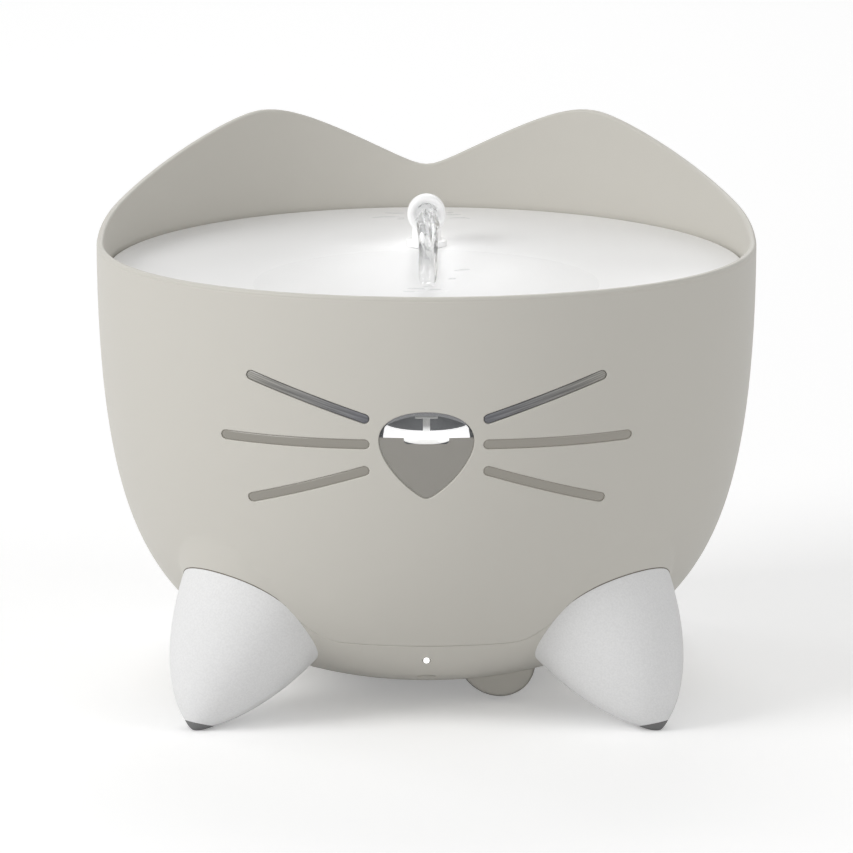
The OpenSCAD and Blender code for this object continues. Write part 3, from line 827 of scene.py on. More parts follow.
def base_shell(material):
    """The lower casing, with the holes for the light, the inlet and the four screws."""
    sheet = Sheet()
    s_top = s_at_z(SEAM_Z - SEAM_GAP / 2 - SEAM_ROUND)
    rows = spaced(s_top, s_at_r(BASE_END_R), BASE_ROWS)

    def patch(mid, columns, above, below, outline, **options):
        """A patch of columns to both sides, between the rows before one place and after another."""
        first = max(i for i, s in enumerate(rows) if s < above)
        last = min(i for i, s in enumerate(rows) if s > below)
        return mid - columns, mid + columns, first, last, [outline], options

    s_light = s_at_z(LIGHT_Z)
    inlet_column = round((math.pi - math.asin(INLET_X / INLET_BODY_R)) / STEP)
    box_loop = rounded_box(INLET_X, INLET_Z, POCKET_HALF_W, POCKET_HALF_H, POCKET_ROUND)
    high, low = (min(s for s in rows if s > s_at_z(z)) for z in INLET_PATCH_Z)
    patches = [patch(0, LIGHT_COLUMNS, s_light - PATCH_REACH, s_light + PATCH_REACH,
                     circle_outline(0, LIGHT_Z, LIGHT_R), wall_depth=LIGHT_BORE_DEPTH),
               (inlet_column - INLET_COLUMNS, inlet_column + INLET_COLUMNS, rows.index(high),
                rows.index(low), [box_loop], {"wall_depth": INLET_Y, "rear": True})]
    s_screw = s_at_r(SCREW_SPOT_R)
    spots = [around(angle, SCREW_SPOT_R) for angle in turns(4)]
    for angle, spot in zip(turns(4), spots):
        patches.append(patch(round(angle / STEP), SCREW_COLUMNS, s_screw - PATCH_REACH,
                             s_screw + PATCH_REACH, circle_outline(spot.x, spot.y, COUNTERBORE_R),
                             wall_depth=COUNTERBORE_Z, under=True))
    grid = skin_mesh(sheet, rows, patches,
                     lambda theta, s: with_seam(theta, s, rows[BASE_STILL_ROW], s_top))
    ends = [[grid[(c, len(rows) - 1)] for c in range(COLUMNS)]]
    ends += [[on_skin(sheet, theta, s_at_r(r)) for theta in THETAS] for r in (10, 5)]
    sheet.bands(ends)
    sheet.fan(ends[-1], sheet.add((0, 0, BOTTOM_Z), (0, 0, -1)))
    sheet.bands([[grid[(c, 0)] for c in range(COLUMNS)]] + seam_edge(sheet, 1))
    for spot in spots:
        lathe(sheet, [(COUNTERBORE_R, COUNTERBORE_Z), (SCREW_HOLE_R, COUNTERBORE_Z),
                      (SCREW_HOLE_R, SCREW_HOLE_Z)], upright(spot.x, spot.y), 28)
    inlet_plate(sheet, box_loop)
    dress(sheet.build("base_shell"), material, ROOT, "bowl_plastic", "base_cover")


DOME_R = 1.12
DOME_H = 0.9
DOME_SINK = 0.5


def light_dome(material):
    """The small round head of the light pipe, standing a little out of the base."""
    y = -on_profile(s_at_z(LIGHT_Z))[0]
    sheet = Sheet()
    profile = [(DOME_R, -1.2)] + [(DOME_R * math.cos(a), DOME_H * math.sin(a) - DOME_SINK)
                                  for a in quarter(8)]
    lathe(sheet, profile, lambda px, py, pz: (px, y - pz, LIGHT_Z + py), 40)
    dress(sheet.build("light_head"), material, ROOT, "led")


def bulge(material):
    """The round-bottomed bulge under the base, with a flat face to the front."""
    def outline(inset):
        left, right = BULGE_LEFT_R - inset, BULGE_RIGHT_R - inset
        return ([(BULGE_X - left, BULGE_TOP_Z - inset), (BULGE_X - left, BULGE_SIDE_Z)]
                + arc((BULGE_X, BULGE_LOW + BULGE_LEFT_R), left, 180, 270, 18)
                + arc((BULGE_X, BULGE_LOW + BULGE_RIGHT_R), right, 275, 360, 17)
                + [(BULGE_X + right, BULGE_SIDE_Z), (BULGE_X + right, BULGE_TOP_Z - inset)])

    sheet = Sheet()
    rings = []
    for a in quarter(6):
        loop = outline(BULGE_EDGE * (1 - math.sin(a)))
        normals = []
        for i, (x, z) in enumerate(loop):
            ax, az = loop[max(0, i - 1)]
            bx, bz = loop[min(len(loop) - 1, i + 1)]
            out = Vector((az - bz, 0, bx - ax)).normalized()
            normals.append(out * math.sin(a) + FRONT * math.cos(a))
        y = BULGE_FRONT + BULGE_EDGE * (1 - math.cos(a))
        rings.append(sheet.row([(x, y, z) for x, z in loop], normals))
    for y in (BULGE_MID, BULGE_BACK):
        rings.append(sheet.row([(x, y, z) for x, z in loop], normals))
    sheet.bands(rings, closed=False)
    for y, shape, way in ((BULGE_FRONT, outline(BULGE_EDGE), FRONT), (BULGE_BACK, loop, -FRONT)):
        sheet.face(sheet.row([(x, y, z) for x, z in shape], [way] * len(shape)))
    dress(sheet.build("base_bulge"), material, ROOT, "bowl_plastic")


# ---- Legs ----

def leg_axes(a):
    """Centre, axis, inward side and across of the leg at azimuth a."""
    out = Vector((math.cos(a), math.sin(a), 0))
    across = Vector((-math.sin(a), math.cos(a), 0))
    axis = out * math.cos(LEG_LEAN) - UP * math.sin(LEG_LEAN)
    side = out * math.sin(LEG_LEAN) + UP * math.cos(LEG_LEAN)
    return out * LEG_R + UP * LEG_Z, axis, side, across


def leg_point(axes, t, p):
    """Point of the leg at a distance t down its axis and an angle p round it: the section is a
    squared ellipse that shrinks to the tip, on a softly bent middle line."""
    centre, axis, side, across = axes
    u = min(1.0, max(0.0, (t + LEG_NECK) / (LEG_LEN + LEG_NECK)))
    grow_in = (1 - u ** LEG_IN_POWERS[0]) ** LEG_IN_POWERS[1]
    grow_across = (1 - u ** LEG_ACROSS_POWERS[0]) ** LEG_ACROSS_POWERS[1]
    k = max(t, -LEG_NECK) / LEG_BEND_LEN
    shift = sum(b * k ** (i + 1) for i, b in enumerate(LEG_BEND))
    c, s = math.cos(p), math.sin(p)
    power = LEG_POWER + (LEG_POWER_ROOT - LEG_POWER) * (1 - u)
    c = math.copysign(abs(c) ** (2 / power), c)
    s = math.copysign(abs(s) ** (2 / power), s)
    return (centre + axis * t + side * (shift + LEG_HALF_IN * grow_in * c)
            + across * LEG_HALF_ACROSS * grow_across * s)


def skin_depth(point, swollen):
    """How far a point lies inside the skin, and the place on the skin closest to it."""
    theta = math.atan2(point.x, -point.y)
    s = s_near(math.hypot(point.x, point.y), point.z)
    return (skin_point(theta, s, 0.0, swollen) - point).dot(skin_normal(theta, s)), theta, s


def leg_entry(axes, p, depth, swollen):
    """Distance down the leg's axis at which its line at angle p lies at a depth in the skin."""
    return by_halves(-LEG_NECK - LEG_ROOT, LEG_LEN * 0.9, 24,
                     lambda t: skin_depth(leg_point(axes, t, p), swollen)[0] > depth)


def leg_mesh(angle):
    """A rounded leg as a closed bmesh; its root follows the skin a little below the surface."""
    a = math.radians(angle)
    axes = leg_axes(a)
    bm = bmesh.new()
    steps, segments, root_rings = 56, 96, 8
    angles = turns(segments)
    starts = [leg_entry(axes, p, ROOT_DEPTH, False) for p in angles]
    places = [skin_depth(leg_point(axes, t, p), False)[1:] for t, p in zip(starts, angles)]
    base = places[0][0]
    places = [(base + (theta - base + math.pi) % TURN - math.pi, s) for theta, s in places]
    mid_theta = sum(theta for theta, s in places) / segments
    mid_s = sum(s for theta, s in places) / segments
    back = bm.verts.new(skin_point(mid_theta, mid_s, ROOT_DEPTH))
    rows = []
    for f in spaced(0.0, 1.0, root_rings)[1:-1]:
        rows.append([bm.verts.new(skin_point(mid_theta + (theta - mid_theta) * f,
                                             mid_s + (s - mid_s) * f, ROOT_DEPTH))
                     for theta, s in places])
    for turn in quarter(steps)[:-1]:
        f = math.sin(turn)
        rows.append([bm.verts.new(leg_point(axes, t + (LEG_LEN - t) * f, p))
                     for t, p in zip(starts, angles)])
    tip = bm.verts.new(leg_point(axes, LEG_LEN, 0))
    for r, q in zip(rows, rows[1:]):
        for (r0, r1), (q0, q1) in zip(edges_of(r), edges_of(q)):
            bm.faces.new((r0, r1, q1, q0))
    for (last, ahead), (first, beyond) in zip(edges_of(rows[-1]), edges_of(rows[0])):
        bm.faces.new((last, ahead, tip))
        bm.faces.new((beyond, first, back))
    bmesh.ops.recalc_face_normals(bm, faces=bm.faces)
    return bm, Vector((math.cos(a), math.sin(a), 0))


def cut(bm, point, normal, keep_below):
    """Cuts a closed bmesh by a plane and closes it again."""
    result = bmesh.ops.bisect_plane(bm, geom=bm.verts[:] + bm.edges[:] + bm.faces[:],
                                    plane_co=point, plane_no=normal,
                                    clear_outer=keep_below, clear_inner=not keep_below)
    edges = [g for g in result["geom_cut"] if isinstance(g, bmesh.types.BMEdge)]
    bmesh.ops.edgeloop_fill(bm, edges=edges)


def mesh_of(bm, name):
    """A mesh in metres from a bmesh in millimetres, its faces outwards."""
    bmesh.ops.recalc_face_normals(bm, faces=bm.faces)
    bmesh.ops.scale(bm, vec=(MM, MM, MM), verts=bm.verts)
    mesh = bpy.data.meshes.new(name)
    bm.to_mesh(mesh)
    bm.free()
    return mesh


def finish_bmesh(bm, name, crease=40):
    bmesh.ops.remove_doubles(bm, verts=bm.verts, dist=0.001)
    mesh = mesh_of(bm, name)
    mesh.polygons.foreach_set("use_smooth", [True] * len(mesh.polygons))
    mesh.set_sharp_from_angle(angle=math.radians(crease))
    return linked(name, mesh)


def bevel(piece, width, segments=3, crease=40):
    """Rounds the sharp edges of a piece by width millimetres."""
    mod = piece.modifiers.new("round_edges", "BEVEL")
    mod.width = width * MM
    mod.segments = segments
    mod.limit_method = "ANGLE"
    mod.angle_limit = math.radians(crease)
    mod.harden_normals = False


def leg(name, angle, leg_material, foot_material):
    bm, out = leg_mesh(angle)
    tilt = UP * math.cos(FOOT_TILT) - out * math.sin(FOOT_TILT)
    point = out * FOOT_MID_R + UP * FOOT_MID_Z
    rubber = bm.copy()
    cut(bm, point, tilt, False)
    cut(bm, UP * LEG_LOW_Z, UP, False)
    body = finish_bmesh(bm, "leg_" + name + "_skin")
    bevel(body, 0.25)
    dress(body, leg_material, ROOT, "leg_plastic", "leg_" + name)
    cut(rubber, point, tilt, True)
    for v in rubber.verts:
        drop = (point - v.co).dot(tilt)
        v.co -= tilt * drop * FOOT_STRETCH
    cut(rubber, UP * FOOT_LOW_Z, UP, False)
    pad = finish_bmesh(rubber, "foot_" + name + "_skin")
    bevel(pad, 0.35)
    dress(pad, foot_material, ROOT, "foot_rubber", "foot_" + name)


def leg_gap(name, angle, material):
    """The thin dark joint line where a leg enters the bowl."""
    axes = leg_axes(math.radians(angle))
    line = [leg_point(axes, leg_entry(axes, p, 0.05, True), p) for p in turns(120)]
    sheet = Sheet()
    rings = []
    for i, point in enumerate(line):
        along = (line[(i + 1) % len(line)] - line[i - 1]).normalized()
        theta = math.atan2(point.x, -point.y)
        out = skin_normal(theta, s_near(math.hypot(point.x, point.y), point.z))
        first = (out - along * out.dot(along)).normalized()
        second = along.cross(first)
        wide = GAP_R * min(1.0, max(0.1, (point.z - GAP_LOW_Z) / GAP_FADE))
        ways = [first * math.cos(a) + second * math.sin(a) for a in turns(8)]
        rings.append([sheet.add(point + way * wide, way) for way in ways])
    sheet.bands(rings + [rings[0]])
    dress(sheet.build("leg_joint_" + name), material, ROOT, "bowl_plastic")


# ---- Face window ----

LENS_GAP = 0.12
LENS_DEPTH = 1.6


def lens_bar(sheet, loop, sink=0.35, dome=0.25):
    """A clear plug that fills a cut-out, a little below the skin and softly crowned."""
    rings = [laid(sheet, offset_outline(loop, -inset), low) for inset, low in
             ((LENS_GAP, LENS_DEPTH), (LENS_GAP, sink + 0.15), (0.3, sink), (0.8, sink - dome * 0.6))]
    sheet.bands(rings)
    return rings[-1]


def fill_plane(sheet, ring, depth, step=2.0):
    """Triangles inside a ring of the skin, with points on the skin between."""
    shape = [(sheet.points[i].x, sheet.points[i].z) for i in ring]
    xs, zs = zip(*shape)
    plane = list(shape)
    x = min(xs) + step
    while x < max(xs):
        z = min(zs) + step
        while z < max(zs):
            if inside((x, z), shape) and not near((x, z), shape, step * 0.4):
                plane.append((x, z))
            z += step
        x += step
    numbers = list(ring) + laid(sheet, plane[len(shape):], depth)
    for corners in triangles(plane, [list(range(len(shape)))], keep_inside=True):
        sheet.facing([numbers[c] for c in corners], FRONT)


def window(clear, bar_dark, bar_plain):
    """The nose's clear pane and the six whisker bars, of which the upper pair is darker; the bars'
    greys are painted shade of the tank behind them, the lower bars with painted light as well.
    """
    nose = Sheet()
    fill_plane(nose, lens_bar(nose, FACE_HOLES[0], 0.3, 0.1), 0.24)
    dress(nose.build("nose_pane"), clear, ROOT, "clear_plastic", "window_lens")
    for number, loop in enumerate(FACE_HOLES[1:]):
        bar = Sheet()
        fill_plane(bar, lens_bar(bar, loop), 0.2, 1.2)
        dress(bar.build("whisker_bar_%d" % (number + 1)),
              bar_plain if number % len(WHISKERS) else bar_dark, ROOT, "clear_plastic")


# ---- Dish ----

BASIN_Y = -25.0
BASIN_R = 88.0
BASIN_DEPTH = 3.2
DISH_EDGE = 0.7
DISH_STEP = 3.2
SKIRT_Z = LEDGE_Z + 1.2
SOCKET_R = 6.6
SOCKET_WALL = 2.4
SOCKET_LOW_Z = 134
DRAIN_R = 2.6
DRAIN_REACH = 44.0
DRAIN_COUNT = 9
DRAIN_STEP = 11
LATTICE_ROW = 0.87


def dish_height(x, y):
    """Height of the dish: flat round its edge, sinking softly to the basin."""
    u = math.hypot(x, y - BASIN_Y) / BASIN_R
    sink = (1 - u * u) ** 2 * (1 + 0.6 * u * u) if u < 1 else 0.0
    return DISH_Z - BASIN_DEPTH * sink


def lattice(reach, step):
    """Points of a lattice of triangles inside a circle."""
    count = int(reach / step)
    grid = [(i * step + (j % 2) * step / 2, j * step * LATTICE_ROW)
            for i in range(-count, count + 1) for j in range(-count, count + 1)]
    return [p for p in grid if math.hypot(*p) <= reach - step * 0.6]


def field_mesh(sheet, height, rim, holes, step, up=1):
    """A height field over a round area: rim and holes are rings of (x, y) points."""
    plane = list(rim)
    loops = []
    for hole in holes:
        loops.append(list(range(len(plane), len(plane) + len(hole))))
        plane += hole
    plane += [p for p in lattice(max(math.hypot(*p) for p in rim), step)
              if not any(inside(p, hole) or near(p, hole, step * 0.5) for hole in holes)]
    numbers = []
    e = 0.5
    for x, y in plane:
        nx = (height(x - e, y) - height(x + e, y)) / (2 * e)
        ny = (height(x, y - e) - height(x, y + e)) / (2 * e)
        numbers.append(sheet.add((x, y, height(x, y)), Vector((nx, ny, 1)) * up))
    for corners in triangles(plane, loops):
        sheet.face([numbers[i] for i in corners])


def dish(material):
    sheet = Sheet()
    rim = circle_outline(0, 0, DISH_R - DISH_EDGE, 192)
    holes = [circle_outline(0, SPOUT_Y, SOCKET_R)]
    for i in range(DRAIN_COUNT):
        a = math.radians(DRAIN_STEP * (i - (DRAIN_COUNT - 1) / 2) - 90)
        holes.append(circle_outline(DRAIN_REACH * math.cos(a), BASIN_Y + DRAIN_REACH * math.sin(a),
                                    DRAIN_R, 20))
    field_mesh(sheet, dish_height, rim, holes, DISH_STEP)
    field_mesh(sheet, lambda x, y: dish_height(x, y) - DISH_T, rim, holes, DISH_STEP * 2, up=-1)
    for hole in holes:
        sheet.bands([[sheet.add((x, y, dish_height(x, y) - drop)) for x, y in hole]
                     for drop in (0, DISH_T)])
    lathe(sheet, arc((DISH_R - DISH_EDGE, DISH_Z - DISH_EDGE), DISH_EDGE, 90, 0, 5)
          + [(DISH_R, SKIRT_Z), (DISH_R - 3, SKIRT_Z), (DISH_R - 3, DISH_Z - DISH_T)],
          segments=192, out=-1)
    lathe(sheet, [(SOCKET_R, DISH_Z - 0.5), (SOCKET_R, SOCKET_LOW_Z),
                  (SOCKET_R + SOCKET_WALL, SOCKET_LOW_Z), (SOCKET_R + SOCKET_WALL, DISH_Z - DISH_T)],
          upright(0, SPOUT_Y), 48, out=-1)
    dress(sheet.build("dish_skin"), material, "dish_unit", "dish_plastic", "top_dish")


HEAD_FLAT = 4.5
HEAD_DEEP = 9.5
BORE_DEEP = 2.6
SPIGOT_R = 6.2
SPIGOT_BORE = 3.7
SPIGOT_DOWN = 9
SPIGOT_UP = 4
COLUMN_FOOT = 0.4
COLUMN_FLARE = 0.7
FILLET_R = 0.8
FILLET_UP = 2.0
COLLAR_ROUND = 0.5
COLLAR_UP = 0.7
COLLAR_DOWN = 1.6
COLLAR_SHADE_R = 0.16


def spout(material, joint):
    """White spout: a column under a round head whose open mouth faces forwards, and a collar, with a
    grey ring of painted contact shade round the collar's foot.
    """
    def forwards(x, y, z):
        return x, SPOUT_Y - z, MOUTH_Z + y

    placed = upright(0, SPOUT_Y)
    sheet = Sheet()
    reach = SPOUT_Y - MOUTH_Y
    lip = (NOZZLE_R - MOUTH_BORE) / 2
    rear = [(NOZZLE_R * math.cos(a), HEAD_FLAT - HEAD_DEEP * math.sin(a)) for a in quarter(14)]
    lathe(sheet, [(0, BORE_DEEP), (MOUTH_BORE, BORE_DEEP)]
          + arc((NOZZLE_R - lip, reach - lip), lip, 180, 0, 14) + rear, forwards, 96, out=-1)
    lathe(sheet, [(COLUMN_R, DISH_Z + COLUMN_FOOT), (COLUMN_R, DISH_Z + 6),
                  (COLUMN_R + 0.2, DISH_Z + 8.5), (COLUMN_R + COLUMN_FLARE, MOUTH_Z - 2.5)],
          placed, 72)
    lathe(sheet, [(COLUMN_R, DISH_Z + FILLET_UP + 0.1)]
          + arc((COLUMN_R + FILLET_R, DISH_Z + FILLET_UP), FILLET_R, 180, 270, 4)
          + arc((COLLAR_R - COLLAR_ROUND, DISH_Z + COLLAR_UP), COLLAR_ROUND, 90, 0, 5)
          + [(COLLAR_R, DISH_Z - COLLAR_DOWN)], placed, 72, out=-1)
    lathe(sheet, [(SPIGOT_R, DISH_Z), (SPIGOT_R, DISH_Z - SPIGOT_DOWN),
                  (SPIGOT_BORE, DISH_Z - SPIGOT_DOWN), (SPIGOT_BORE, DISH_Z + SPIGOT_UP)],
          placed, 48, out=-1)
    dress(sheet.build("spout_skin"), material, "spout_unit", "dish_plastic", "spout")
    # a grey ring of painted contact shade where the collar meets the dish
    ring = Sheet()
    low = dish_height(0, SPOUT_Y - COLLAR_R)
    lathe(ring, arc((COLLAR_R + 0.05, low + 0.02), COLLAR_SHADE_R, 180, -180, 10), placed, 72,
          out=-1)
    dress(ring.build("collar_shade_ring"), joint, "dish_unit", "dish_plastic")


# ---- Water ----

STREAM_END_Y = -27.5
POOL_Z = 151.4
POOL_STEP = 1.6
JET_ROWS = 96
JET_SIDES = 44
JET_HALF_W = 3.85
JET_HALF_H = 3.8
# the jet's slight bow to the side: how far, and how much of a wave along it
JET_BOW = (0.35, 3.0)
# how far the jet narrows evenly and towards its end, and how far it flattens
JET_NARROWS = (0.35, 0.65)
JET_FLATTENS = 2.2
# ridges along the jet: (height, number round it, turn along it, start)
JET_RIDGES = ((0.07, 3, 5, 0.0), (0.05, 5, -8, 1.3))
# swirls: their scale round the jet, and their height at the mouth and its loss along the jet
SWIRL_SCALE = 2.1
SWIRL_HEIGHT = (0.26, 0.14)
STREAM_CLOSE = 0.9
STREAM_CLEAR_HALF = 2.3


def stream(material):
    """The jet: round at the mouth, then flatter and ridged where it falls into the basin."""
    sheet = Sheet()
    rows = []
    start = Vector((0.2, MOUTH_Y + 3.2, MOUTH_Z + 0.1))
    end = Vector((0.4, STREAM_END_Y, POOL_Z - 0.3))
    side = Vector((1, 0, 0))
    for t in spaced(0.0, 1.0, JET_ROWS):
        middle = Vector((JET_BOW[0] * math.sin(JET_BOW[1] * t) + end.x * t,
                         start.y + (end.y - start.y) * t,
                         start.z + (end.z - start.z) * t * t))
        forward = Vector((0, end.y - start.y, (end.z - start.z) * 2 * t)).normalized()
        up = side.cross(forward)
        wide = JET_HALF_W - JET_NARROWS[0] * t - JET_NARROWS[1] * t ** 3
        tall = JET_HALF_H - JET_FLATTENS * t
        # the end of the jet narrows and sinks into the pool
        close = max(0.0, (t - STREAM_CLOSE) / (1 - STREAM_CLOSE))
        tall *= math.sqrt(max(0.0, 1 - close * close)) + 0.02
        wide *= 0.35 + 0.65 * math.sqrt(max(0.0, 1 - close ** 3))
        flow = 6.0 * t if t > 0.3 else 1.8 + 14.0 * (t - 0.3)
        row = []
        for a in turns(JET_SIDES):
            ridge = sum(height * math.sin(count * a + turn * t + first)
                        for height, count, turn, first in JET_RIDGES)
            swirl = noise.noise(Vector((math.cos(a) * SWIRL_SCALE, math.sin(a) * SWIRL_SCALE,
                                        flow * 0.5)))
            r = 1 + ridge + swirl * (SWIRL_HEIGHT[0] - SWIRL_HEIGHT[1] * t)
            row.append(sheet.add(middle + side * wide * r * math.cos(a)
                                 + up * tall * r * math.sin(a)))
        rows.append(row)
    sheet.bands(rows)
    for ring in (rows[0], rows[-1]):
        sheet.fan(ring, sheet.add(sum((sheet.points[i] for i in ring), Vector()) / len(ring)))
    piece = sheet.build("water_stream")
    outwards(piece)
    piece.data.materials.append(material)
    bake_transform(piece)


def outwards(piece):
    """Turns a closed piece's faces outwards."""
    bm = bmesh.new()
    bm.from_mesh(piece.data)
    bmesh.ops.recalc_face_normals(bm, faces=bm.faces)
    bm.to_mesh(piece.data)
    bm.free()


RING_SQUEEZE = 1.2
RING_SHIFT = 3
RING_HEIGHT = 0.22
RING_RATE = 0.8
RING_FADE = 11
WAVE_HEIGHT = 0.04
WAVE_SCALE = 0.06
WAVE_LAYER = 3.1


def ripple(x, y):
    """Height of the water's surface, with rings round the place where the jet falls in."""
    d = math.hypot(x * RING_SQUEEZE, y - STREAM_END_Y + RING_SHIFT)
    rings = RING_HEIGHT * math.sin(d * RING_RATE) * math.exp(-d / RING_FADE)
    wave = WAVE_HEIGHT * noise.noise(Vector((x * WAVE_SCALE, y * WAVE_SCALE, WAVE_LAYER)))
    return POOL_Z + rings + wave


def pool(material):
    """Water lying in the basin."""
    sheet = Sheet()
    reach = 0.0
    while dish_height(0, BASIN_Y + reach) < POOL_Z - 0.05 and reach < BASIN_R:
        reach += 0.5
    plane = circle_outline(0, BASIN_Y, reach, 160)
    plane += [(x, BASIN_Y + y) for x, y in lattice(reach, POOL_STEP)]
    numbers = [sheet.add((x, y, ripple(x, y))) for x, y in plane]
    for corners in triangles(plane, []):
        sheet.facing([numbers[c] for c in corners], UP)
    dress(sheet.build("basin_water"), material, "dish_unit", "clear_plastic")


# a ripple is (middle x, middle y, half length, half width, height, turn in degrees, bow)
RIPPLES = ((-14.5, 96, 6.5, 0.9, 0.35, 3, -1.5), (-12.0, 103, 4.0, 0.8, 0.3, -4, 1.2),
           (-9.6, 92, 1.6, 1.0, 0.4, 20, 0.4), (10.2, 100, 3.2, 0.9, 0.35, 6, 1.0),
           (12.6, 94, 4.2, 0.9, 0.35, -3, -1.0), (8.6, 104, 2.2, 0.9, 0.3, 30, 0.5),
           (13.2, -1, 3.4, 0.8, 0.5, 24, 0.8), (9.4, -17, 1.7, 0.7, 0.45, 28, 0.3),
           (-3.6, -34, 3.4, 0.7, 0.4, -6, -0.8), (3.0, -36, 2.6, 0.7, 0.4, 10, -0.6),
           (-6.2, -40, 2.4, 0.6, 0.35, 4, 0.4), (0.6, -31, 1.8, 0.7, 0.4, 2, -0.5))


WET_REACH = BASIN_R * 0.6
CREST_SINK = 0.03


def film_height(x, y):
    """Height of whichever lies higher, the dish or the pool on it."""
    wet = math.hypot(x, y - BASIN_Y) < WET_REACH
    return max(dish_height(x, y), ripple(x, y) if wet else 0)


def ripples(material):
    """Small crests on the thin film of water round the spout and the jet."""
    sheet = Sheet()
    for x0, y0, half, width, height, turn, bow in RIPPLES:
        a = math.radians(turn)
        along = Vector((math.cos(a), math.sin(a), 0))
        across = Vector((-math.sin(a), math.cos(a), 0))
        rows = []
        for u in spaced(-1.0, 1.0, 16):
            grow = math.sqrt(max(0.0, 1 - u * u))
            middle = Vector((x0, y0, 0)) + along * half * u + across * bow * u * u
            row = []
            for v in spaced(-1.0, 1.0, 8):
                point = middle + across * width * grow * v
                z = film_height(point.x, point.y) - CREST_SINK + height * grow * (1 - v * v)
                row.append(sheet.add((point.x, point.y, z)))
            rows.append(row)
        for r, q in zip(rows, rows[1:]):
            for j in range(len(r) - 1):
                sheet.faces.append([r[j], q[j], q[j + 1], r[j + 1]])
    dress(sheet.build("water_ripples"), material, "dish_unit", "clear_plastic")


LEVEL_Z = 114.7
NOTCH_HALF = 7.95
NOTCH_LOW_Z = 112.5
NOTCH_ROUND = 1.4
FACE_DEPTH = 1.0
FACE_GAP = 0.14


def nose_water(material):
    """The water's grey face in the nose, up to the level line and round the float's disc: painted
    shade of the tank seen through the water, with painted light that keeps it even.
    """
    sheet = Sheet()
    edge = [(x, z) for x, z in offset_outline(FACE_HOLES[0], -FACE_GAP) if z < LEVEL_Z - 0.2]
    split = next(i for i in range(len(edge)) if math.dist(edge[i], edge[i - 1]) > 8)
    edge = edge[split:] + edge[:split]
    half = abs(edge[0][0])
    notch = [(NOTCH_HALF, LEVEL_Z)] + arc((NOTCH_HALF - NOTCH_ROUND, NOTCH_LOW_Z + NOTCH_ROUND),
                                          NOTCH_ROUND, 0, -90, 6)
    notch += [(-x, z) for x, z in reversed(notch)]
    corners = [(half, LEVEL_Z)] + notch + [(-half, LEVEL_Z)]
    if edge[-1][0] < 0:
        corners.reverse()
    fine = []
    for (ax, az), (bx, bz) in edges_of(edge + corners):
        pieces = max(1, int(math.hypot(bx - ax, bz - az) / 1.5))
        fine += list(zip(spaced(ax, bx, pieces), spaced(az, bz, pieces)))[:-1]
    fill_plane(sheet, laid(sheet, fine, FACE_DEPTH), FACE_DEPTH, 1.6)
    piece = sheet.build("water_level")
    dress(piece, material, ROOT, "clear_plastic")
    low, high = (skin_point(0, s_at_z(z), FACE_DEPTH, False) for z in (NOSE_TIP_Z, LEVEL_Z))
    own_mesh(piece)


PANE_EDGE_Z = 118.3
PANE_EDGE_RISE = 4.2
PANE_EDGE_DEPTHS = (1.3, 0.9)
PANE_SHADE_LOW_Z = 114.0
PANE_SHADE_TOP_Z = 121.0
PANE_SHADE_WIDE = 0.62
PANE_SHADE_DEPTHS = (1.15, 0.85)


def arc_strip(sheet, inner, outer, depths):
    """A strip between two rows of (x, z) points, at an inner and an outer depth in the skin."""
    far, close = laid(sheet, outer, depths[1]), laid(sheet, inner, depths[0])
    for i in range(len(inner) - 1):
        sheet.facing([far[i], far[i + 1], close[i + 1], close[i]], FRONT)


def mirrored(points):
    """A row of points from the middle to the right, completed on the left."""
    return [(-x, z) for x, z in reversed(points[1:])] + points


def nose_frame(grey, black):
    """The pane's thick upper edge, whose grey is partly painted light, and black strips of painted
    shade at both sides of the float's plate, which glows with painted light.
    """
    right = [(x, z) for x, z in offset_outline(FACE_HOLES[0], -0.1) if x >= -1e-6 and z > 112]
    right.sort(key=lambda p: -p[1])
    upper = [p for p in right if p[1] > PANE_EDGE_Z]
    band = []
    for x, z in upper:
        share = min(1.0, max(0.0, (z - PANE_EDGE_Z) / PANE_EDGE_RISE))
        band.append((x * (1 - 0.02 * share), z - 0.2 - 1.1 * share ** 0.8))
    top = Sheet()
    arc_strip(top, mirrored(band), mirrored(upper), PANE_EDGE_DEPTHS)
    dress(top.build("pane_edge"), grey, ROOT, "clear_plastic")
    # black strips painted as the shade at both sides of the float's plate
    gap = Sheet()
    lower = [p for p in right if PANE_SHADE_LOW_Z < p[1] < PANE_SHADE_TOP_Z]
    for side in (-1, 1):
        inner = []
        for x, z in lower:
            share = math.sin(math.pi * (PANE_SHADE_TOP_Z - z) / (PANE_SHADE_TOP_Z - PANE_SHADE_LOW_Z))
            inner.append((side * (x - PANE_SHADE_WIDE * max(0.0, share) ** 0.7), z))
        arc_strip(gap, inner, [(side * x, z) for x, z in lower], PANE_SHADE_DEPTHS)
    dress(gap.build("pane_side_shade"), black, ROOT, "seal_rubber")


GUIDE_Y = -85.65
GUIDE_R = 15.3
PLATE_R = 110.9
PLATE_HALF = 15.3
PLATE_Z = 113.0
PLATE_T = 0.8
FLOAT_Y = -102.4
FLOAT_R = 8.5
FLOAT_LOW_Z = 111.0
STEM_Y = -103.5
STEM_R = 1.25
BAR_HALF = 4.0
BAR_LOW_Z = 118.9
BAR_TOP_Z = 119.55


def oblong(half, low_y, high_y):
    """Corners of an oblong that is as wide to the left as to the right."""
    return [(-half, low_y), (half, low_y), (half, high_y), (-half, high_y)]


def prism(outline, low, high):
    """An upright prism over an outline of (x, y), as a bmesh."""
    bm = bmesh.new()
    face = bm.faces.new([bm.verts.new((x, y, low)) for x, y in outline])
    lifted = bmesh.ops.extrude_face_region(bm, geom=[face])
    verts = [g for g in lifted["geom"] if isinstance(g, bmesh.types.BMVert)]
    bmesh.ops.translate(bm, vec=(0, 0, high - low), verts=verts)
    return bm


def float_slab(name, outline, low, high, edge, material, *nodes):
    """A flat piece of the float, with rounded edges."""
    piece = finish_bmesh(prism(outline, low, high), name)
    bevel(piece, edge, 3, 30)
    dress(piece, material, "float_unit", "dish_plastic", *nodes)


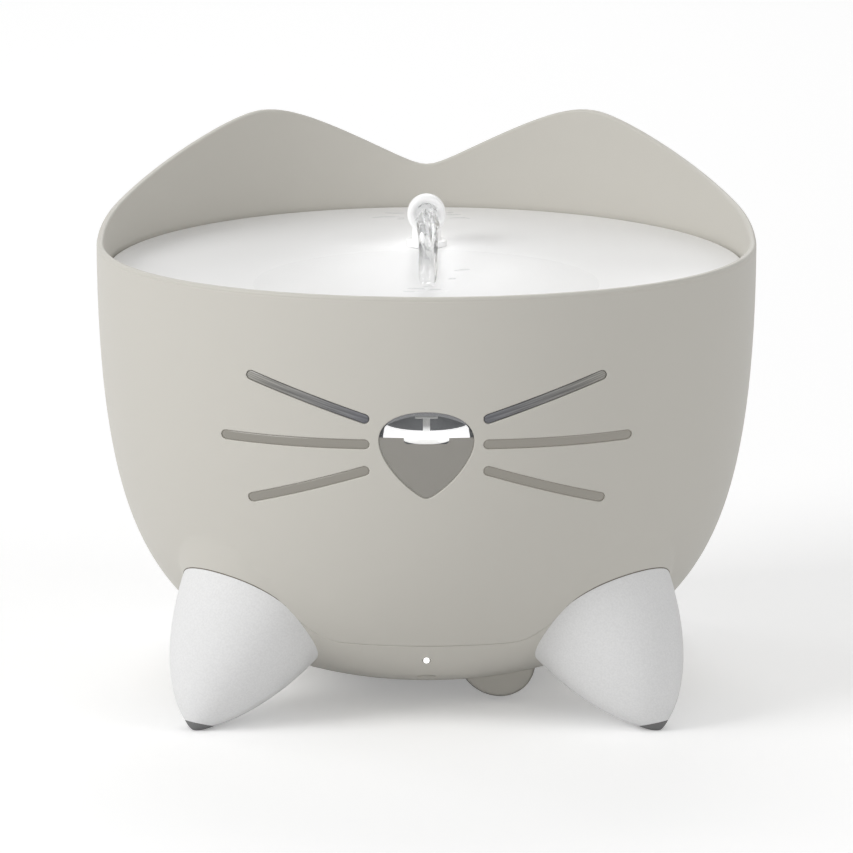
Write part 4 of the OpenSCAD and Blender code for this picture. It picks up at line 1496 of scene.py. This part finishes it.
def level_float(lit, disc_lit, stem_material):
    """The float: a plate that fills the chamber, the disc under it, and a stem with a bar; their
    materials glow with painted light.
    """
    front = math.asin(PLATE_HALF / PLATE_R)
    reach = math.asin((PLATE_HALF - 0.6) / GUIDE_R)
    plate = [(PLATE_R * math.sin(a), -PLATE_R * math.cos(a)) for a in spaced(-front, front, 24)]
    plate += [(GUIDE_R * math.sin(a), GUIDE_Y - GUIDE_R * math.cos(a))
              for a in spaced(reach, -reach, 24)]
    float_slab("float_plate", plate, PLATE_Z, PLATE_Z + PLATE_T, 0.15, lit, "level_float")
    # the disc is round, but cut off flat in front of the guide
    disc = [(FLOAT_R * math.sin(a), min(FLOAT_Y - FLOAT_R * math.cos(a), GUIDE_Y - GUIDE_R - 0.2))
            for a in spaced(0.0, TURN, 64)]
    disc = [p for i, p in enumerate(disc) if i == 0 or math.dist(p, disc[i - 1]) > 0.05][:-1]
    float_slab("float_disc", disc, FLOAT_LOW_Z, PLATE_Z + 0.1, 0.7, disc_lit)
    sheet = Sheet()
    lathe(sheet, [(STEM_R, PLATE_Z + PLATE_T - 0.1), (STEM_R, BAR_LOW_Z + 0.1)],
          upright(0, STEM_Y), 40)
    dress(sheet.build("float_stem"), stem_material, "float_unit", "dish_plastic")
    float_slab("float_bar", oblong(BAR_HALF, STEM_Y - STEM_R, STEM_Y + STEM_R), BAR_LOW_Z,
               BAR_TOP_Z, 0.2, stem_material)


CHAMBER_HALF = 17.2
CHAMBER_NEAR_Y = -84.0
CHAMBER_FAR_Y = -125.0
CHAMBER_LOW_Z = 93.0
CHAMBER_TOP_Z = 120.0
WATER_GAP = 3.0


def carve(piece, cutter):
    """Takes the cutter's room out of a piece, and removes the cutter."""
    step = piece.modifiers.new("carve", "BOOLEAN")
    step.operation = "DIFFERENCE"
    step.object = cutter
    bpy.context.view_layer.update()
    shaped = piece.evaluated_get(bpy.context.evaluated_depsgraph_get())
    mesh = bpy.data.meshes.new_from_object(shaped)
    piece.modifiers.clear()
    piece.data = mesh
    bpy.data.objects.remove(cutter)


def tank_water(material):
    """The tank's water: a smooth-sided body with a flat surface, open where the float is; its opaque
    grey is painted shade of the tank seen through the water.
    """
    sheet = Sheet()
    inset = WALL + WATER_GAP
    profile = [(0.0, WATER_Z)]
    for s in spaced(s_at_z(WATER_Z), s_at_z(FLOOR_Z + 2), 20):
        r, z, nr, nz = on_profile(s)
        profile.append((r - inset * nr, min(WATER_Z, z - inset * nz)))
    profile.append((0.0, profile[-1][1]))
    lathe(sheet, profile, segments=128, out=-1)
    piece = sheet.build("tank_water")
    outwards(piece)
    room = prism(oblong(CHAMBER_HALF, CHAMBER_FAR_Y, CHAMBER_NEAR_Y), CHAMBER_LOW_Z, CHAMBER_TOP_Z)
    carve(piece, linked("chamber_room", mesh_of(room, "chamber_room")))
    dress(piece, material, ROOT, "clear_plastic")


# ---- Materials ----

def srgb(value):
    value /= 255
    return value / 12.92 if value <= 0.04045 else ((value + 0.055) / 1.055) ** 2.4


def colour(r, g, b):
    return srgb(r), srgb(g), srgb(b), 1.0


class Graph:
    """The shader nodes of a material or of the world."""

    def __init__(self, owner, shader="Principled BSDF"):
        owner.use_nodes = True
        self.owner = owner
        self.tree = owner.node_tree
        self.shader = self.tree.nodes[shader]

    def feed(self, sockets, values):
        """Sets sockets to numbers or colours, or links the outputs of other nodes to them."""
        for key, value in values.items():
            if isinstance(value, bpy.types.NodeSocket):
                self.tree.links.new(value, sockets[key])
            else:
                sockets[key].default_value = value

    def shade(self, values):
        self.feed(self.shader.inputs, values)
        return self.owner

    def add(self, kind, values, **settings):
        """A new node, of which the outputs are returned."""
        made = self.tree.nodes.new("ShaderNode" + kind)
        for key, value in settings.items():
            setattr(made, key, value)
        self.feed(made.inputs, values)
        return made.outputs

    def place(self):
        return self.add("TexCoord", {})["Object"]

    def noise(self, place, scale, **more):
        return self.add("TexNoise", {"Vector": place, "Scale": scale, **more})["Fac"]

    def ranged(self, value, low, high, start=0.0, end=1.0, soft=False):
        """A value carried from the range low to high into the range start to end."""
        return self.add("MapRange", {"Value": value, "From Min": low, "From Max": high,
                                     "To Min": start, "To Max": end},
                        interpolation_type="SMOOTHSTEP" if soft else "LINEAR")["Result"]

    def calc(self, operation, *values):
        return self.add("Math", dict(enumerate(values)), operation=operation)["Value"]

    def scaled(self, shade, factor):
        return self.add("VectorMath", {0: shade, "Scale": factor}, operation="SCALE")["Vector"]

    def ramp(self, value, first, last):
        """A colour between two stops of (position, colour)."""
        made = self.tree.nodes.new("ShaderNodeValToRGB")
        for element, (position, shade) in zip(made.color_ramp.elements, (first, last)):
            element.position = position
            element.color = shade
        self.tree.links.new(value, made.inputs["Fac"])
        return made.outputs["Color"]


def plastic(name, rgb, roughness=0.45, mottle=0.02, grain_scale=900.0, speckle=0.0, bump=0.05,
            metallic=0.0):
    """Moulded plastic: faint mottling, uneven gloss and a fine surface grain."""
    graph = Graph(bpy.data.materials.new(name))
    place = graph.place()
    cloud = graph.noise(place, 26.0, Detail=3.0)
    fine = graph.noise(place, grain_scale, Detail=2.0)
    base = graph.scaled(colour(*rgb)[:3], graph.ranged(cloud, 0.0, 1.0, 1 - mottle, 1 + mottle))
    if speckle:
        base = graph.scaled(base, graph.ranged(fine, 0.35, 0.65, 1 - speckle, 1 + speckle))
    gloss = graph.ranged(cloud, 0.0, 1.0, roughness - 0.04, roughness + 0.04)
    lift = graph.add("Bump", {"Strength": bump, "Distance": 0.0001, "Height": fine})["Normal"]
    return graph.shade({"Metallic": metallic, "Base Color": base, "Roughness": gloss,
                        "Normal": lift})


def metal(name, rgb, roughness):
    return plastic(name, rgb, roughness, 0.03, bump=0.02, metallic=1.0)


def clear_pane(name, tint=(214, 219, 220), cover=0.10):
    """A thin clear pane: mostly see-through, with its own gloss."""
    graph = Graph(bpy.data.materials.new(name))
    veil = graph.ranged(graph.noise(graph.place(), 40.0), 0.0, 1.0, cover * 0.8, cover * 1.2)
    return graph.shade({"Base Color": colour(*tint), "Roughness": 0.04, "Alpha": veil})


# Emission: real light for the LED, painted light for the parts that are no lamps.
def real_and_painted_glow(material, rgb, strength):
    return Graph(material).shade({"Emission Color": colour(*rgb), "Emission Strength": strength})


def glowing(name, rgb, strength, roughness=0.4):
    """White plastic that gives off light: real light in the LED and the light pipe's head, painted
    light in the spout and the float, which are no lamps.
    """
    return real_and_painted_glow(plastic(name, rgb, roughness, 0.01), rgb, strength)


def painted_grey(name, rgb, share):
    """Grey for clear plastic with the tank behind it: the grey is painted shade, and part of its
    brightness is painted light, an emission that keeps it even.
    """
    dark = tuple(round(v * (1 - share) ** 0.5) for v in rgb)
    return real_and_painted_glow(plastic(name, dark, 0.2, bump=0.01), rgb, share)


STEM_GREY_Z = 116.4
STEM_WHITE_Z = 114.3
SHADE_NEAR_X = 22.0
SHADE_FAR_X = 64.0
STREAK_SCALE = 1700.0
STREAK_STRETCH = 0.03


def float_stem_material():
    """The float's stem: its own grey, with painted light that runs from grey at its head to white at
    its foot.
    """
    graph = Graph(plastic("stem_grey", (150, 149, 147), 0.4))
    z = graph.add("SeparateXYZ", {"Vector": graph.place()})["Z"]
    rise = graph.ranged(z, STEM_GREY_Z * MM, STEM_WHITE_Z * MM)
    # painted light: dim at the stem's head, white at its foot
    glow = graph.ramp(rise, (0.0, colour(118, 118, 118)), (1.0, colour(255, 255, 255)))
    return graph.shade({"Emission Color": glow, "Emission Strength": 0.8})


def shaded_bar_material(name):
    """The upper whiskers: painted shade of the dark tank seen through the clear bar, paler towards
    the outer end, with streaks along it.
    """
    graph = Graph(plastic(name, (120, 121, 124), 0.2, bump=0.02))
    split = graph.add("SeparateXYZ", {"Vector": graph.place()})
    away = graph.calc("ABSOLUTE", split["X"])
    # height above the bar's middle line, which climbs with the distance from the nose
    root_z, (tip_x, tip_z) = WHISKERS[0]
    slope = (tip_z - root_z) / (tip_x - WHISKER_ROOT_X)
    height = graph.calc("MULTIPLY_ADD", away, -slope, split["Z"])
    slow = graph.calc("MULTIPLY", away, STREAK_STRETCH)
    streaks = graph.add("CombineXYZ", {"X": slow, "Z": height})["Vector"]
    streak = graph.noise(streaks, STREAK_SCALE, Detail=2.0)
    tone = graph.ramp(streak, (0.36, (0.52, 0.52, 0.53, 1)), (0.62, (1.12, 1.12, 1.12, 1)))
    along = graph.ranged(away, SHADE_NEAR_X * MM, SHADE_FAR_X * MM)
    # painted shade of the tank behind the bar: darkest near the nose, paler towards the outer end
    shade = graph.ramp(along, (0.0, colour(112, 113, 118)), (1.0, colour(156, 154, 147)))
    mixed = graph.add("VectorMath", {0: shade, 1: tone}, operation="MULTIPLY")["Vector"]
    return graph.shade({"Base Color": mixed})


def water(name):
    """Clear water with dark streaks of painted shade that run along the jet."""
    graph = Graph(bpy.data.materials.new(name))
    place = graph.place()
    split = graph.add("SeparateXYZ", {"Vector": place})
    x, y = split["X"], split["Y"]
    stretched = graph.add("Mapping", {"Vector": place, "Scale": (1.0, 0.13, 0.5)})["Vector"]
    cloud = graph.noise(stretched, 420.0, Detail=2.0, Distortion=0.8)
    # painted shade: darker on the right and near the mouth
    right = graph.ranged(x, 0.0019, 0.0034, 0.0, 0.12, soft=True)
    mouth_shade = graph.ranged(y, 0.010, 0.034, 0.0, 0.05)
    thin = graph.calc("SUBTRACT", cloud, graph.calc("ADD", right, mouth_shade))
    tone = graph.ramp(thin, (0.26, (0.10, 0.105, 0.11, 1)), (0.40, (0.98, 0.985, 0.985, 1)))
    # towards the pool its middle turns clear, and at its end it fades out
    rim = graph.ranged(graph.calc("ABSOLUTE", x), STREAM_CLEAR_HALF * MM,
                       (STREAM_CLEAR_HALF + 0.9) * MM, soft=True)
    body = graph.ranged(y, (STREAM_END_Y + 6) * MM, (STREAM_END_Y + 36) * MM, 0.12, soft=True)
    fade = graph.ranged(y, (STREAM_END_Y + 0.5) * MM, (STREAM_END_Y + 5) * MM, 0.04, soft=True)
    seen = graph.calc("MULTIPLY", graph.calc("MAXIMUM", rim, body), fade)
    return graph.shade({"Transmission Weight": 0.95, "IOR": 1.22, "Base Color": tone,
                        "Roughness": graph.ranged(cloud, 0.0, 1.0, 0.0, 0.04), "Alpha": seen})


def finishes():
    """Material of each CAD node that stays, by the record's slot, and of two nodes by name."""
    return {
        "bowl_plastic": plastic("taupe_inner", (197, 194, 186), 0.5, 0.008),
        "dish_plastic": plastic("white_inner", (240, 240, 239), 0.35, 0.006),
        "leg_plastic": plastic("leg_inner", (226, 226, 225), 0.7, 0.01),
        "inner_plastic": plastic("pump_white", (228, 229, 228), 0.4, 0.01),
        "clear_plastic": clear_pane("clear_inner"),
        "smoke_plastic": plastic("smoke_grey", (104, 105, 108), 0.3, 0.04),
        "foot_rubber": plastic("ring_rubber", (140, 140, 139), 0.8, 0.03, bump=0.3),
        "seal_rubber": plastic("black_rubber", (42, 42, 43), 0.75, 0.05, bump=0.3),
        "steel": metal("steel", (196, 197, 199), 0.28),
        "copper_wire": metal("copper_wire", (184, 115, 51), 0.35),
        "board": plastic("board_green", (38, 96, 60), 0.45, 0.08, 500.0, 0.08),
        "black_plastic": plastic("black_plastic", (34, 34, 35), 0.5, 0.08),
        "magnet": plastic("ferrite", (58, 57, 58), 0.65, 0.06, speckle=0.1),
        "bush": plastic("bush_ceramic", (188, 186, 181), 0.35, 0.03),
        "led": glowing("led_white", (255, 252, 240), 1.5),
        "foam": plastic("blue_foam", (78, 110, 134), 0.95, 0.08, 700.0, 0.35, 1.0),
        "carbon": plastic("carbon_grains", (40, 40, 41), 0.85, 0.1, 600.0, 0.5, 1.0),
        "light_pipe": plastic("pipe_white", (206, 205, 201), 0.25),
        # the float guide is coloured dark grey as painted shade of the chamber behind the nose
        "float_guide": plastic("chamber_painted_shade", (86, 87, 90), 0.5),
    }


# ---- Scene ----

def build():
    taupe = plastic("taupe_plastic", (203, 200, 192), 0.5, 0.008, bump=0.03)
    white = plastic("white_plastic", (250, 250, 250), 0.3, 0.004, bump=0.02)
    pale = plastic("speckled_plastic", (234, 234, 234), 0.75, 0.01, 1500.0, 0.03, 0.25)
    rubber = plastic("grey_rubber", (119, 119, 119), 0.8, 0.03, bump=0.3)
    bowl_shell(taupe)
    base_shell(taupe)
    bulge(taupe)
    joint = plastic("joint_line", (112, 106, 96), 0.7, 0.03)
    for name, angle in LEG_ANGLES.items():
        leg(name, angle, pale, rubber)
        leg_gap(name, angle, joint)
    # Whisker bars: painted shade of the tank behind them, the lower bars with painted light as well.
    window(clear_pane("clear_pane"), shaded_bar_material("bar_painted_shade"),
           painted_grey("bar_painted_grey", (144, 140, 132), 0.6))
    light_dome(glowing("light_white", (255, 255, 255), 1.2))
    dish(white)
    # The spout glows faintly with painted light; the grey ring at its foot is painted contact shade.
    spout(glowing("spout_white", (250, 250, 250), 0.12, 0.25),
          plastic("collar_painted_shade", (120, 120, 119), 0.6, 0.03))
    stream(water("clear_water"))
    pool(clear_pane("water_film", (250, 251, 251), 0.06))
    ripples(clear_pane("ripple_water", (206, 207, 209), 0.13))
    # Grey sheet in the nose: painted shade of the tank seen through the water, with painted light.
    nose_water(painted_grey("water_painted_grey", (134, 130, 122), 0.62))
    nose_frame(painted_grey("pane_grey", (124, 124, 127), 0.4),
               plastic("side_shade_black", (18, 18, 20), 0.5, 0.05))
    # The float's plate and disc glow with painted light, though no lamp is in them.
    level_float(glowing("float_painted_glow", (252, 252, 252), 1.0),
                glowing("disc_painted_glow", (250, 250, 249), 0.62), float_stem_material())
    # The tank's water: opaque grey, painted shade of the tank seen through it.
    tank_water(plastic("water_body_painted_grey", (150, 152, 150), 0.06, bump=0.01))
    finish = finishes()
    slots = {part["node"]: part["material_slot"] for part in frame["record"]["subparts"]}
    for name, node in frame["nodes"].items():
        for slot in node.material_slots:
            slot.material = finish.get(name) or finish[slots[name]]


CAMERA_Y = -2.880
CAMERA_Z = 0.7292
CAMERA_PITCH = 12.457
CAMERA_LENS = 340.3
# a lamp is (name, degrees round from the front, degrees up, size in metres, watts)
LAMPS = (("key", -62, 30, 1.2, 27.3), ("right", 60, 35, 1.2, 7.9), ("front", 0, 8, 1.2, 4.8),
         ("back", 180, 45, 1.2, 10.5), ("back_left", -125, 38, 0.5, 2.2),
         ("valley", 176, 21, 0.45, 1.0))
LAMP_REACH = 2.5
LAMP_AIM = Vector((0, 0, 0.09))
WORLD_LEVEL = 0.405
FLOOR_GLOW = 0.267
FLOOR_HALF = 9000


def seen_white(graph):
    """One for rays of the camera and for rays through glass or off metal, else zero."""
    path = graph.add("LightPath", {})
    value = path["Is Camera Ray"]
    for kind in ("Is Glossy Ray", "Is Transmission Ray"):
        value = graph.calc("MAXIMUM", value, path[kind])
    return value


def studio():
    scene = bpy.context.scene
    scene.view_settings.view_transform = "Standard"
    camera_data = bpy.data.cameras.new("camera")
    camera_data.lens = CAMERA_LENS
    camera_data.sensor_width = 36.0
    camera_data.clip_end = 30
    camera = linked("camera", camera_data)
    camera.location = (0, CAMERA_Y, CAMERA_Z)
    camera.rotation_euler = (math.radians(90 - CAMERA_PITCH), 0, 0)
    scene.camera = camera
    scene.world = bpy.data.worlds.new("studio")
    graph = Graph(scene.world, "Background")
    graph.shade({"Color": (1, 1, 1, 1),
                 "Strength": graph.ranged(seen_white(graph), 0.0, 1.0, WORLD_LEVEL)})
    for name, turn, rise, size, power in LAMPS:
        e = math.radians(rise)
        place = around(math.radians(turn), math.cos(e), math.sin(e)) * LAMP_REACH + LAMP_AIM
        light = bpy.data.lights.new(name, "AREA")
        light.size = size
        light.energy = power
        lamp = linked(name, light)
        lamp.location = place
        lamp.rotation_euler = (LAMP_AIM - place).to_track_quat("-Z", "Y").to_euler()
    sheet = Sheet()
    sheet.face(sheet.row([(x, y, 0) for x, y in oblong(FLOOR_HALF, -FLOOR_HALF, FLOOR_HALF)]))
    floor = sheet.build("floor")
    graph = Graph(bpy.data.materials.new("floor_white"))
    glow = graph.calc("MULTIPLY", seen_white(graph), FLOOR_GLOW)
    floor.data.materials.append(graph.shade({
        "Base Color": (0.9, 0.9, 0.9, 1), "Roughness": 0.9, "Specular IOR Level": 0.0,
        "Emission Color": (1, 1, 1, 1), "Emission Strength": glow}))


studio()
build()
